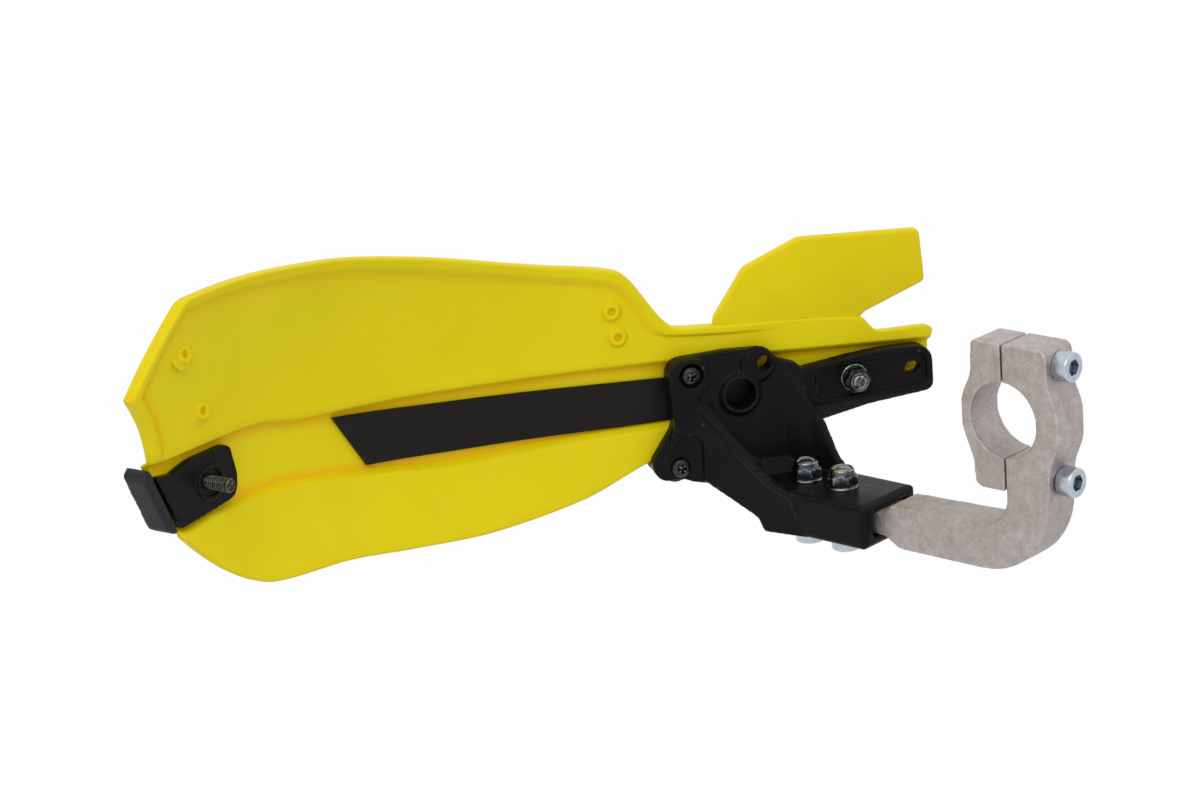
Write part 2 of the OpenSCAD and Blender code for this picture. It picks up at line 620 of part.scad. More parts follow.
module arm_nut_rear() { arm_nut(bolt_y[0]); }
module arm_nut_front() { arm_nut(bolt_y[1]); }
module lock_ring_rear() { lock_ring(bolt_y[0]); }
module lock_ring_front() { lock_ring(bolt_y[1]); }

module pan_screw(d, length) {
    color("gray") difference() {
        union() {
            cylinder(h = length, d = d);
            translate([0, 0, -1.2]) cylinder(h = 1.2, d = pan_head_d);
            translate([0, 0, -2.2]) cylinder(h = 1, d1 = pan_head_d * 0.66, d2 = pan_head_d);
        }
        for (a = [0, 90]) rotate([0, 0, a]) translate([-1.7, -0.45, -3]) cube([3.4, 0.9, 2]);
    }
}

module bracket_screw_upper() {
    on_wall_at(upper_screw_at, -plate_t) pan_screw(screw_d, plate_t + bumper_near + insert_h - 1.7);
}

module bracket_screw_lower() {
    on_wall_at(lower_screw_at, -plate_t) pan_screw(screw_d, plate_t + insert_h - 0.9);
}

module screw_insert(p, f) {
    on_wall_at(p, f) color("goldenrod") difference() {
        cylinder(h = insert_h, d = insert_d);
        translate([0, 0, -1]) cylinder(h = insert_h + 2, d = screw_d);
    }
}

module screw_insert_upper() { screw_insert(upper_screw_at, bumper_near); }
module screw_insert_lower() { screw_insert(lower_screw_at, 0); }

// Flat screw head sunk in the bumper's face, with its shank back toward the rider
module face_screw(d, head_d, back, hex) {
    seat = bumper_face - head_sink;
    translate([0, 0, -back]) cylinder(h = back + seat, d = d);
    translate([0, 0, seat]) difference() {
        cylinder(h = head_sink - 0.2, d1 = head_d, d2 = head_d - 1.7);
        translate([0, 0, 0.8]) cylinder(h = head_sink, d = hex, $fn = 6);
    }
}

module strip_bolt() {
    on_wall_at(strip_bolt_at, 0) color("lightgray")
        face_screw(strip_d, strip_head_d, plate_t + washer_t + strip_nut_h + 1.4, 2.5);
}

module strip_washer() {
    on_wall_at(strip_bolt_at, -plate_t - washer_t) washer(strip_nut_af * 1.2, strip_d + 0.3, washer_t);
}

module strip_nut() {
    on_wall_at(strip_bolt_at, -plate_t - washer_t) rotate([180, 0, 0]) color("dimgray") {
        hex_nut(strip_nut_af, strip_nut_h, strip_nut_af * 1.1, strip_d);
        translate([0, 0, strip_nut_h]) difference() {
            cylinder(h = 1.2, d1 = strip_nut_af * 0.9, d2 = strip_nut_af * 0.8);
            translate([0, 0, -1]) cylinder(h = 3, d = strip_d);
        }
    }
}

// Screw of the end tab, put in from the front
module end_screw() {
    on_wall_at(end_screw_at, 0) color("dimgray") face_screw(end_screw_d, end_head_d, 8, 2.8);
}

shell();
spine_strip();
front_bumper();
end_tab();
mount_bracket();
clamp_arm();
clamp_cap();
clamp_screw_upper();
clamp_screw_lower();
arm_bolt_rear();
arm_bolt_front();
arm_washer_rear();
arm_washer_front();
arm_nut_rear();
arm_nut_front();
lock_ring_rear();
lock_ring_front();
bracket_screw_upper();
bracket_screw_lower();
screw_insert_upper();
screw_insert_lower();
strip_bolt();
strip_washer();
strip_nut();
end_screw();
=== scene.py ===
# %% [markdown]
# A motorcycle hand guard, dressed for its portrait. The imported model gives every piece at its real
# size, so this lesson adds only what a moulding tool, a saw and a tumbler leave behind: rounded
# edges, grain, threads, blasted metal and a little wear. The first cell loads that model as a fixed
# frame. Nothing in it is moved or resized; new pieces are fitted over its solids.

import json
import math

import bmesh
import bpy
import numpy as np
from mathutils import Matrix, Vector

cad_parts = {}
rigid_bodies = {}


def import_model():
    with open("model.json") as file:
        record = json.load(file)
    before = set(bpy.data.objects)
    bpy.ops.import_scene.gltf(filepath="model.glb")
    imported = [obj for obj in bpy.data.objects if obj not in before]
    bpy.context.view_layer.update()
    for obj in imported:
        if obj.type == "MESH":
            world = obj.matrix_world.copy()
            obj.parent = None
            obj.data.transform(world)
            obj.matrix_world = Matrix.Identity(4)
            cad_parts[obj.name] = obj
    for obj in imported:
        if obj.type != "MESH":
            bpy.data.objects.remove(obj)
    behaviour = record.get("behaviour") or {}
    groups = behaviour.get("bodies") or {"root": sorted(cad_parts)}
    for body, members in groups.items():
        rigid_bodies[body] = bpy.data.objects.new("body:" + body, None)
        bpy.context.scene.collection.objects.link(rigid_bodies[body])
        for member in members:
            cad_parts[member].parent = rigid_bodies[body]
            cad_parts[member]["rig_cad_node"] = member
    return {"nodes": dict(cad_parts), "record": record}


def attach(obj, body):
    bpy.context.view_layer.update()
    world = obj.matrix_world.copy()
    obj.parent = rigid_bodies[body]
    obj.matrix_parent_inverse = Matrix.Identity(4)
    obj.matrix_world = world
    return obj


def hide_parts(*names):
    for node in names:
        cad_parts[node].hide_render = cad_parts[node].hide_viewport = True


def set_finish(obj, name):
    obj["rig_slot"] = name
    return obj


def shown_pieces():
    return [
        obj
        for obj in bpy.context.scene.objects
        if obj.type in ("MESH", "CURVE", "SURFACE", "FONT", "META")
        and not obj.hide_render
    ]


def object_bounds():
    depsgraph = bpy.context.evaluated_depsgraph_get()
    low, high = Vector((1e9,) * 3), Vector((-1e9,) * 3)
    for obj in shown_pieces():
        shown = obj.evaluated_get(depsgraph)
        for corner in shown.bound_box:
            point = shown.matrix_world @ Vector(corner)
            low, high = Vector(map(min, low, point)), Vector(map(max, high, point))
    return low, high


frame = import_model()
cad_low, cad_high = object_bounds()
MM = 0.001
print("pieces in the frame:", len(frame["nodes"]))
print("size in mm:", [round((b - a) / MM, 1) for a, b in zip(cad_low, cad_high)])

# %% [markdown]
# The camera stands where the photographer stood: a little above the rider's grip, looking forward
# and inboard through a long lens, with a slight roll. A long lens keeps the far end of the guard
# nearly as large as the clamp. The focal length is given for a frame 1200 pixels wide.

# %% Camera
IMAGE_WIDTH = 1200
FOCAL_PIXELS = 3443
SENSOR_MM = 36.0
CAMERA_PLACE = Vector((-739.2, -545.2, 306.9)) * MM
CAMERA_LOOK = Vector((0.6889, 0.6570, -0.3062))
CAMERA_ROLL = 4.51

lens = bpy.data.cameras.new("portrait_lens")
lens.sensor_width = SENSOR_MM
lens.lens = SENSOR_MM * FOCAL_PIXELS / IMAGE_WIDTH
lens.dof.use_dof = False
lens.clip_start = 0.05
lens.clip_end = 30
camera = bpy.data.objects.new("portrait_camera", lens)
bpy.context.scene.collection.objects.link(camera)
camera.location = CAMERA_PLACE
level_turn = CAMERA_LOOK.to_track_quat("-Z", "Y").to_matrix()
camera.rotation_euler = (level_turn @ Matrix.Rotation(math.radians(-CAMERA_ROLL), 3, "Z")).to_euler()
bpy.context.scene.camera = camera
print("lens in mm:", round(lens.lens, 1))

# %% [markdown]
# Everything on the guard follows one curved wall. In plan the wall runs straight away from the
# bracket and then turns back round the rider's hand. A point on it is named by how far it lies along
# the wall (s), its height (z) and how far forward it sits from the rider's face (f). Working in those
# three numbers, and bending them into place at the end, keeps every outline easy to draw.

# %% The wall that the guard follows
SPINE_ANGLE = 32
WRAP_ANGLE = 40
WALL_ANCHOR = np.array([9.0, 90.5])
WALL_BEND = (40, 215)
CHANNEL_DEPTH = 3.0
CHANNEL_HALF = 9.0
BULGE_R = 105.0
WALK_STEP = 0.5


def ease(t):
    """A smooth step from 0 to 1."""
    t = np.clip(t, 0, 1)
    return t * t * (3 - 2 * t)


def wall_angle(s):
    """Heading of the wall in plan, in radians."""
    share = (np.asarray(s, float) - WALL_BEND[0]) / (WALL_BEND[1] - WALL_BEND[0])
    return np.radians(180 - SPINE_ANGLE + WRAP_ANGLE * ease(share))


walk_s = np.arange(-80, 260, WALK_STEP)
walk_mid = wall_angle(walk_s[:-1] + WALK_STEP / 2)
walk_x = np.concatenate([[0], np.cumsum(np.cos(walk_mid) * WALK_STEP)])
walk_y = np.concatenate([[0], np.cumsum(np.sin(walk_mid) * WALK_STEP)])
walk_x += WALL_ANCHOR[0] - np.interp(0, walk_s, walk_x)
walk_y += WALL_ANCHOR[1] - np.interp(0, walk_s, walk_y)
print("length of the walk in mm:", walk_s[-1] - walk_s[0])

# %% [markdown]
# The long lines of the moulding are smooth curves through a few points. A cubic between each pair of
# points could swing past them, so the slopes are chosen as the harmonic mean of their neighbours:
# the curve then never overshoots, and a flat stretch stays flat.

# %% Smooth lines and the shell's bulge


def smooth_line(points):
    """The height of a line through points (s, z), with its first and last station."""
    s, z = np.array(points, float).T
    slope = np.diff(z) / np.diff(s)
    tangent = np.concatenate([[slope[0]], np.zeros(len(s) - 2), [slope[-1]]])
    for i in range(1, len(s) - 1):
        a, b = slope[i - 1], slope[i]
        tangent[i] = 0 if a * b <= 0 else 2 * a * b / (a + b)

    def height(x):
        x = np.asarray(x, float)
        i = np.clip(np.searchsorted(s, x) - 1, 0, len(s) - 2)
        w = s[i + 1] - s[i]
        u = np.clip((x - s[i]) / w, 0, 1)
        return (z[i] * (1 + 2 * u) * (1 - u) ** 2 + z[i + 1] * u * u * (3 - 2 * u)
                + tangent[i] * w * u * (1 - u) ** 2 - tangent[i + 1] * w * u * u * (1 - u))
    return height, s[0], s[-1]


def place_on(line, t):
    """Place (s, z) on a line at share t from its outer end to the bracket's end."""
    height, first, last = line
    s = last + (first - last) * t
    return np.array([s, float(height(s))])


channel_line = smooth_line([(-47, -6), (40, -5.5), (100, -3), (150, 2), (215, 7.5)])[0]


def flat_seat(s):
    """0 where the wall is flat under the bracket, 1 where it bulges freely."""
    return ease((np.asarray(s, float) - 44) / 50)


def bulge(s, z):
    """How far the shell falls back over and under its channel."""
    past = np.maximum(0, np.abs(z - channel_line(s)) - CHANNEL_HALF)
    return -flat_seat(s) * past ** 2 / (2 * BULGE_R)


def wall_points(s, z, f):
    """Points in metres for places along the wall."""
    s, z, f = np.broadcast_arrays(*(np.asarray(v, float) for v in (s, z, f)))
    a = wall_angle(s)
    x = np.interp(s, walk_s, walk_x) + f * np.sin(a)
    y = np.interp(s, walk_s, walk_y) - f * np.cos(a)
    return np.stack([x, y, z], -1) * MM


def shell_surface(sections):
    """Points in metres for rows of (s, z, f) that follow the bulging shell."""
    s, z, f = np.moveaxis(np.array(sections, float), -1, 0)
    return wall_points(s, z, f + bulge(s, z)).reshape(-1, 3)


def wall_frame(s, z, f):
    """A matrix with x along the wall, y up and z forward through it."""
    a = float(wall_angle(s))
    along = Vector((math.cos(a), math.sin(a), 0))
    up = Vector((0, 0, 1))
    turn = Matrix((along, up, along.cross(up))).transposed().to_4x4()
    return Matrix.Translation(Vector(wall_points(s, z, f).tolist())) @ turn


print("outer tip of the wall in mm:", (wall_points(220, 37, 0) / MM).round(1))

# %% [markdown]
# Meshes are made from plain lists of points. A skin joins neighbouring loops of points by quads and
# closes both ends with strips of quads. Quads shade far more evenly than the long triangles that a
# solid modeller exports. Faces meet smoothly up to a set angle and sharply past it, as on a real
# turned or moulded part.

# %% Mesh helpers
SHARP_ANGLE = math.radians(38)


def shade(mesh, angle=SHARP_ANGLE):
    """Smooth shading that stops at edges sharper than the angle."""
    mesh.polygons.foreach_set("use_smooth", [True] * len(mesh.polygons))
    mesh.set_sharp_from_angle(angle=angle)


def mesh_from(name, points, faces):
    """A mesh with outward normals from points in metres."""
    mesh = bpy.data.meshes.new(name)
    mesh.from_pydata([tuple(p) for p in points], [], faces)
    mesh.validate()
    made = bmesh.new()
    made.from_mesh(mesh)
    bmesh.ops.recalc_face_normals(made, faces=made.faces)
    made.to_mesh(mesh)
    made.free()
    shade(mesh)
    return mesh


def joined(name, mesh, forms):
    """A mesh with more closed forms (points, faces) added to it."""
    together = bmesh.new()
    together.from_mesh(mesh)
    for points, faces in forms:
        together.from_mesh(mesh_from("form", points, faces))
    result = bpy.data.meshes.new(name)
    together.to_mesh(result)
    together.free()
    return result


def new_piece(name, mesh, slot, node):
    """A piece seated in the frame, which stands for a solid and takes its finish from a slot."""
    piece = bpy.data.objects.new(name, mesh)
    bpy.context.scene.collection.objects.link(piece)
    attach(piece, "root")
    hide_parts(node)
    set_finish(piece, slot)
    return piece


def skin_faces(loops, points_each, start=0, closed_ends=True):
    """Quads between loops of points, with both ends closed by strips of quads."""
    faces = []
    for i in range(loops - 1):
        a, b = start + i * points_each, start + (i + 1) * points_each
        faces += [(a + j, a + (j + 1) % points_each, b + (j + 1) % points_each, b + j)
                  for j in range(points_each)]
    ends = (start, start + (loops - 1) * points_each) if closed_ends else ()
    for first in ends:
        faces += [(first + j, first + j + 1, first + points_each - 2 - j, first + points_each - 1 - j)
                  for j in range(points_each // 2 - 1)]
    return faces


def nose(radius, low, high, steps=5):
    """Distances from an edge and depths that round it from one face to the other."""
    arc = [math.pi / 2 * k / steps for k in range(steps + 1)]
    front = [(radius * (1 - math.sin(a)), low + radius * (1 - math.cos(a))) for a in arc]
    back = [(q, high - (f - low)) for q, f in reversed(front)]
    return front + back


def squeeze(radius, distance):
    """How far a face draws in near an edge that is rounded with a radius."""
    gap = max(0.0, radius - distance)
    return radius - math.sqrt(max(0.0, radius * radius - gap * gap))


# %% [markdown]
# The shell is one moulding: an upper wall with a rolled rim, a channel pressed forward along the
# middle, and a flap below. It could be cut from a subdivided cage, but its lines are long and must
# stay true, so it is lofted instead. Five lines run the length of the guard, and each cross-section
# walks from the lowest to the highest, stepping in for the channel and up for the rim.

# %% Shell lines
top_line = smooth_line([(-47, 1.8), (-45.4, 3.5), (-29.5, 4), (-24, 9.4), (20, 13.6), (34, 15),
                        (37, 17.5), (49, 33.8), (52, 35.2), (71, 40), (114, 51.6), (150, 58.6),
                        (188, 61.7), (201.5, 61.3), (204, 60.3)])
mid_line = smooth_line([(-46.8, 1.1), (-30, 2.4), (-22, 6), (20, 9), (40, 11.6), (60, 20.5), (100, 28),
                        (150, 34.8), (205, 38), (220, 36.8)])
upper_crease = smooth_line([(-46.4, 0), (10, 3.6), (40, 5.5), (95, 8.0), (115, 9.4), (153, 12.4),
                            (173, 16), (204, 16.4), (212, 17)])
lower_crease = smooth_line([(-45.8, -11.6), (10, -14.6), (40, -16), (97, -16), (142, -9.7), (165, -6.5),
                            (188, -6.2), (200, -7.4), (203.6, -6.6)])
bottom_line = smooth_line([(-45.6, -12.4), (-43, -14.6), (-20, -16), (20, -19.4), (42, -25),
                           (66, -33.6), (84, -36), (100, -36.9), (122, -35.4), (146, -32.4),
                           (164, -31.2), (174, -29.8), (182, -26.6), (190, -21.2), (198, -13.7),
                           (203.6, -7.4)])
SHELL_T = 3.0
SHELL_RUN = 270.0
RIM_W = 2.6
RIM_H = 1.2
LIP_W = 3.2
STEP_W = 2.4
EDGE_R = 1.0
FLAP_SLOPE = 0.07
END_HOLLOW = 1.8
HOLLOW_RUN = 16

# %% [markdown]
# One cross-section is a closed loop of points. Its inner half carries the channel, the rim and the
# rounded edges; its outer half copies it a wall's thickness further forward. Near the outer end the
# same rim turns down the side, and both faces draw together to round the edge. The end isn't quite
# straight: between the channel and the wall's corner it is hollowed a little.

# %% One cross-section of the shell


def cross_section(d):
    """Points (s, z, f) round the shell at a distance d from its outer edge."""
    t = d / SHELL_RUN
    low, crease, high, mid, top = (place_on(line, t) for line in
                                   (bottom_line, lower_crease, upper_crease, mid_line, top_line))
    flap = FLAP_SLOPE * float(flat_seat(crease[0]))
    side_rim = RIM_H * float(1 - ease((d - RIM_W) / LIP_W))
    top_rim = RIM_H * float(ease((top[0] + 4) / 30))
    flap_len = max(np.linalg.norm(crease - low), 0.05)
    upper_len = np.linalg.norm(top - mid)
    low_r = min(EDGE_R, flap_len * 0.4)
    step = min(0.3, STEP_W / np.linalg.norm(high - crease))
    rim_share = min(0.45, RIM_W / upper_len)
    lip_share = min(0.7, (RIM_W + LIP_W) / upper_len)
    edge_share = min(0.3, EDGE_R / upper_len)
    rows = []

    def run(a, b, shares, depth):
        rows.extend((*(a + (b - a) * v), depth(v, (a + (b - a) * v)[1])) for v in shares)

    def rim_at(v):
        return max(side_rim, top_rim * float(ease((v - 1 + lip_share) / (lip_share - rim_share))))

    run(low, crease, np.linspace(low_r / flap_len, 0.97, 12), lambda v, z: -flap * (crease[1] - z))
    run(crease, high, np.linspace(0, step, 7), lambda v, z: CHANNEL_DEPTH * float(ease(v / step)))
    run(crease, high, np.linspace(step, 1 - step, 10)[1:-1], lambda v, z: CHANNEL_DEPTH)
    run(crease, high, np.linspace(1 - step, 1, 7), lambda v, z: CHANNEL_DEPTH * float(ease((1 - v) / step)))
    channel_rows = len(rows)
    wall_shares = np.linspace(0, 1, 12)[1:]
    run(high, mid, wall_shares, lambda v, z: -side_rim)
    drawn_in = END_HOLLOW * float(1 - ease(d / HOLLOW_RUN))
    for k, v in enumerate(wall_shares, channel_rows):
        s, z, f = rows[k]
        rows[k] = (s - drawn_in * math.sin(math.pi * v), z, f)
    run(mid, top, np.linspace(0, 1 - lip_share, 12)[1:], lambda v, z: -side_rim)
    run(mid, top, np.linspace(1 - lip_share, 1 - rim_share, 7)[1:], lambda v, z: -rim_at(v))
    run(mid, top, np.linspace(1 - rim_share, 1 - edge_share, 4)[1:], lambda v, z: -max(side_rim, top_rim))

    draw = squeeze(EDGE_R, min(d, SHELL_RUN - d))
    inner = [(s, z, f + draw) for s, z, f in rows]
    outer = [(s, z, (f if i < channel_rows else 0) + SHELL_T - draw) for i, (s, z, f) in enumerate(rows)]
    up = (top - mid) / upper_len
    over = [(*(top - up * q), f) for q, f in nose(edge_share * upper_len, inner[-1][2], outer[-1][2])]
    down = (low - crease) / flap_len
    under = [(*(low - down * q), f) for q, f in nose(low_r, inner[0][2], outer[0][2])][1:-1]
    half = len(under) // 2
    return under[:half][::-1] + inner + over[1:-1] + outer[::-1] + under[half:][::-1]


edge_steps = [0, 0.15, 0.4, 0.7, 1.0, 1.6, 2.2, 2.6, 2.9, 3.2, 3.5, 3.8, 4.2, 5]
run_steps = edge_steps + list(np.arange(6.5, 168, 1.5)) + list(np.arange(168.5, 192, 0.8))
run_steps += list(np.arange(192.5, 268, 1.7)) + [269.2, 269.7, SHELL_RUN]
sections = [cross_section(d) for d in run_steps]
print("shell sections:", len(sections), "points in each:", len(sections[0]))

# %% [markdown]
# The loops now become one closed mesh. The screws pass through it, so their holes are cut before the
# wing and bosses are added: a boolean works best on one clean closed form. The cutters are plain
# cylinders, set across the wall by the same three numbers as everything else.

# %% Loft the shell and cut its holes


def rod(radius, low, high, matrix, segments=40):
    """Points and faces of a plain cylinder in mm, placed by a matrix."""
    ring = [(radius * math.cos(2 * math.pi * k / segments), radius * math.sin(2 * math.pi * k / segments))
            for k in range(segments)]
    points = np.array([(x, y, h) for h in (low, high) for x, y in ring])
    faces = [(j, (j + 1) % segments, segments + (j + 1) % segments, segments + j) for j in range(segments)]
    faces += [tuple(range(segments)), tuple(range(segments, 2 * segments))]
    return placed(points, matrix), faces


def placed(points, matrix):
    """Points in mm moved by a matrix whose shift is in metres."""
    return np.asarray(points) @ np.array(matrix.to_3x3()).T * MM + np.array(matrix.translation)


def cut(mesh, cutters):
    """The mesh with closed cutter forms taken away."""
    whole = bpy.data.objects.new("uncut", mesh)
    bpy.context.scene.collection.objects.link(whole)
    tools = []
    for k, (points, faces) in enumerate(cutters):
        tool = bpy.data.objects.new(f"cutter_{k}", mesh_from(f"cutter_{k}", points, faces))
        bpy.context.scene.collection.objects.link(tool)
        away = whole.modifiers.new("cut", "BOOLEAN")
        away.operation = "DIFFERENCE"
        away.solver = "EXACT"
        away.object = tool
        tools.append(tool)
    bpy.context.view_layer.update()
    result = bpy.data.meshes.new_from_object(whole.evaluated_get(bpy.context.evaluated_depsgraph_get()))
    for tool in tools + [whole]:
        bpy.data.objects.remove(tool)
    return result


UPPER_SCREW = (31.3, 0.9)
LOWER_SCREW = (36.2, -27.1)
STRIP_BOLT = (-19.5, -7.7)
END_SCREW = (191, 4.8)
SCREW_HOLE_R = 2.1
BOLT_HOLE_R = 2.3
CUT_FROM, CUT_TO = -8, 12
wall_mesh = mesh_from("shell_wall", shell_surface(sections), skin_faces(len(sections), len(sections[0])))
holes = [rod(radius, CUT_FROM, CUT_TO, wall_frame(*at, 0)) for radius, at in
         ((SCREW_HOLE_R, UPPER_SCREW), (BOLT_HOLE_R, STRIP_BOLT), (BOLT_HOLE_R, END_SCREW))]
uncut_faces = len(wall_mesh.polygons)
wall_mesh = cut(wall_mesh, holes)
print("shell faces before and after the holes:", uncut_faces, len(wall_mesh.polygons))

# %% [markdown]
# The wing is a flat tongue of the same moulding, leaning a little forward, with a rounded edge. A
# slab is drawn by repeating its outline at several depths, pulled in a little near each face. Its
# foot runs into the wall, where the two closed forms overlap as one moulding.

# %% Slabs and the wing


def rounded(corners, steps=8):
    """Outline points from corners (x, y, radius)."""
    points = []
    for i, (x, y, r) in enumerate(corners):
        b = np.array([x, y], float)
        a = np.array(corners[i - 1][:2], float)
        c = np.array(corners[(i + 1) % len(corners)][:2], float)
        if r == 0:
            points.append(b)
            continue
        u, v = (a - b) / np.linalg.norm(a - b), (c - b) / np.linalg.norm(c - b)
        half = math.acos(np.clip(u @ v, -1, 1)) / 2
        t = min(r / math.tan(half), 0.49 * min(np.linalg.norm(a - b), np.linalg.norm(c - b)))
        arc_r = t * math.tan(half)
        o = b + (u + v) / np.linalg.norm(u + v) * arc_r / math.sin(half)
        p, q = b + u * t - o, b + v * t - o
        start = math.atan2(p[1], p[0])
        sweep = (math.atan2(q[1], q[0]) - start + math.pi) % (2 * math.pi) - math.pi
        turns = [start + sweep * k / steps for k in range(steps + 1)]
        points += [o + arc_r * np.array([math.cos(a), math.sin(a)]) for a in turns]
    return np.array(points)


def inset(outline, d):
    """The outline moved inward by d."""
    before, after = np.roll(outline, 1, 0), np.roll(outline, -1, 0)
    way = np.sign(np.sum(outline[:, 0] * after[:, 1] - after[:, 0] * outline[:, 1]))
    normals = []
    for edge in (outline - before, after - outline):
        normals.append(np.stack([-edge[:, 1], edge[:, 0]], 1) / np.linalg.norm(edge, axis=1)[:, None] * way)
    share = np.maximum(0.4, 1 + np.sum(normals[0] * normals[1], 1))
    return outline + d * (normals[0] + normals[1]) / share[:, None]


def slab(outline, low, high, radius, steps=4):
    """Points (x, y, z) and faces of a plate with rounded edges."""
    layers = nose(radius, low, high, steps)
    n = len(outline)
    points = [(*p, f) for q, f in layers for p in inset(outline, q)]
    faces = skin_faces(len(layers), n, closed_ends=False)
    faces += [tuple(range(n)), tuple(range((len(layers) - 1) * n, len(layers) * n))]
    return np.array(points), faces


WING_LEAN = math.radians(6)
WING_FOOT = 13
WING_EDGE_R = 0.9
WING_SINK = 0.05
wing_outline = [(22, 12, 0), (21.3, 16, 3), (11.8, 30.1, 4), (-5.4, 37, 5), (-43.2, 34.4, 2),
                (-44.9, 17.6, 2), (-26, 10.6, 2), (-22.7, 8, 0)]
wing, wing_faces = slab(rounded(wing_outline), WING_SINK, SHELL_T - WING_SINK, WING_EDGE_R)
rise, depth = wing[:, 1] - WING_FOOT, wing[:, 2]
leaning = np.stack([wing[:, 0], WING_FOOT + rise * math.cos(WING_LEAN) + depth * math.sin(WING_LEAN),
                    depth * math.cos(WING_LEAN) - rise * math.sin(WING_LEAN)], 1)
forms = [(placed(leaning, wall_frame(0, 0, 0)), wing_faces)]
print("wing points:", len(leaning))

# %% [markdown]
# Turned forms, such as bosses, screws and nuts, are drawn as a stack of rings. A ring's radius may be
# a number, or a function of the angle: a hexagon is one such function and a thread is another, so a
# nut or a screw is the same few lines as a plain boss.

# %% Rings, hexagons and the shell's bosses
SEGMENTS = 48


def ring_stack(rings, segments=SEGMENTS, loop=False):
    """Points and faces of a turned form from rings (radius, height); a loop has a hole through it."""
    angles = [2 * math.pi * k / segments for k in range(segments)]
    points = [((radius(a) if callable(radius) else radius) * math.cos(a),
               (radius(a) if callable(radius) else radius) * math.sin(a), height)
              for radius, height in rings for a in angles]
    faces = skin_faces(len(rings), segments, closed_ends=False)
    last = (len(rings) - 1) * segments
    if loop:
        faces += [(last + j, last + (j + 1) % segments, (j + 1) % segments, j) for j in range(segments)]
    else:
        faces += [tuple(range(segments)), tuple(range(last, last + segments))]
    return np.array(points), faces


def hexagon(across_flats, limit=1e9):
    """Radius of a six-sided form by angle, with its corners cut by a circle of a limiting radius."""
    return lambda a: min(limit, across_flats / 2 / math.cos(a % (math.pi / 3) - math.pi / 6))


shell_bosses = [(199.9, 44.4), (191.8, 25.7), (52.9, 22.8), (51.5, 14.7)]
boss_rings = [(0.05, 0.2), (0.7, 0.18), (0.95, 0.05), (1.05, -0.2), (1.1, -0.9), (1.25, -1.15), (1.55, -1.28),
              (2.1, -1.3), (2.4, -1.18), (2.6, -0.95), (2.72, -0.6), (2.9, -0.3), (3.2, -0.06),
              (3.6, 0.12), (4.2, 0.6)]
for boss_s, boss_z in shell_bosses:
    past = boss_z - float(channel_line(boss_s)) - CHANNEL_HALF
    lean = math.atan(float(flat_seat(boss_s)) * past / BULGE_R)
    seat = wall_frame(boss_s, boss_z, float(bulge(boss_s, boss_z))) @ Matrix.Rotation(lean, 4, "X")
    points, faces = ring_stack(boss_rings, 40)
    forms.append((placed(points, seat), faces))

shell_mesh = joined("moulded_shell", wall_mesh, forms)
shade(shell_mesh, math.radians(60))
new_piece("moulded_shell", shell_mesh, "yellow_shell", "shell")
print("shell faces with wing and bosses:", len(shell_mesh.polygons))

# %% [markdown]
# The strip is punched from flat black sheet and pressed into the channel. Its mesh is a skin as well:
# each cross-section runs up the rider's face and down the hidden one, and both faces draw together at
# the edges, so that a fine line of light runs along them.

# %% The inlaid strip
STRIP_NEAR = 1.65
STRIP_T = 1.2
STRIP_EDGE = 0.35
STRIP_RUN = 135.0
STRIP_EDGE_STEPS = [0, 0.04, 0.12, 0.22, STRIP_EDGE]
strip_low = smooth_line([(2, -12.2), (37.6, -13.9), (97, -11.6), (132.2, -8.5)])
strip_high = smooth_line([(2, -2), (36.5, -0.7), (100, 3.6), (142.3, 8.5)])


def strip_section(t, end_distance):
    """Points (s, z, f) round the strip at share t."""
    low, high = place_on(strip_low, t), place_on(strip_high, t)
    width = np.linalg.norm(high - low)
    edge = STRIP_EDGE_STEPS
    rows = edge + list(np.linspace(STRIP_EDGE, width - STRIP_EDGE, 9)[1:-1]) + [width - q for q in edge[::-1]]
    face = [(*(low + (high - low) * q / width), squeeze(STRIP_EDGE, min(q, width - q, end_distance)))
            for q in rows]
    near = [(s, z, STRIP_NEAR + draw) for s, z, draw in face]
    return near + [(s, z, STRIP_NEAR + STRIP_T - draw) for s, z, draw in face[::-1]]


strip_steps = STRIP_EDGE_STEPS + list(np.arange(2, STRIP_RUN - 2, 2))
strip_steps += [STRIP_RUN - q for q in STRIP_EDGE_STEPS[::-1]]
strip_sections = [strip_section(d / STRIP_RUN, min(d, STRIP_RUN - d)) for d in strip_steps]
strip_mesh = mesh_from("inlaid_strip", shell_surface(strip_sections),
                       skin_faces(len(strip_sections), len(strip_sections[0])))
strip_mesh = cut(strip_mesh, holes[:1])
shade(strip_mesh)
new_piece("inlaid_strip", strip_mesh, "black_strip", "spine_strip")
print("strip faces:", len(strip_mesh.polygons))

# %% [markdown]
# The bracket, the arm, the clamp cap, the bumper and the end tab take their form from the frame's
# solids, but no moulding or tumbled metal has a knife edge. A bevel modifier needs clean loops, and
# these meshes are made of long triangles, so each is remeshed into fine even quads and relaxed a few
# times. That rounds the outside edges and fills the inside corners, as a moulding tool would.
# The bumper's solid is narrow at the upper screw insert and at the strip bolt's head, so that both
# stand past its edges. A moulded bumper has a round boss in such places, and the copy gets two.

# %% Softened solids
FACE_LIMIT = 130000
WELD_GAP = 0.002


def through_modifiers(piece):
    """The piece's mesh as its modifiers leave it."""
    bpy.context.view_layer.update()
    made = bpy.data.meshes.new_from_object(piece.evaluated_get(bpy.context.evaluated_depsgraph_get()))
    piece.modifiers.clear()
    return made


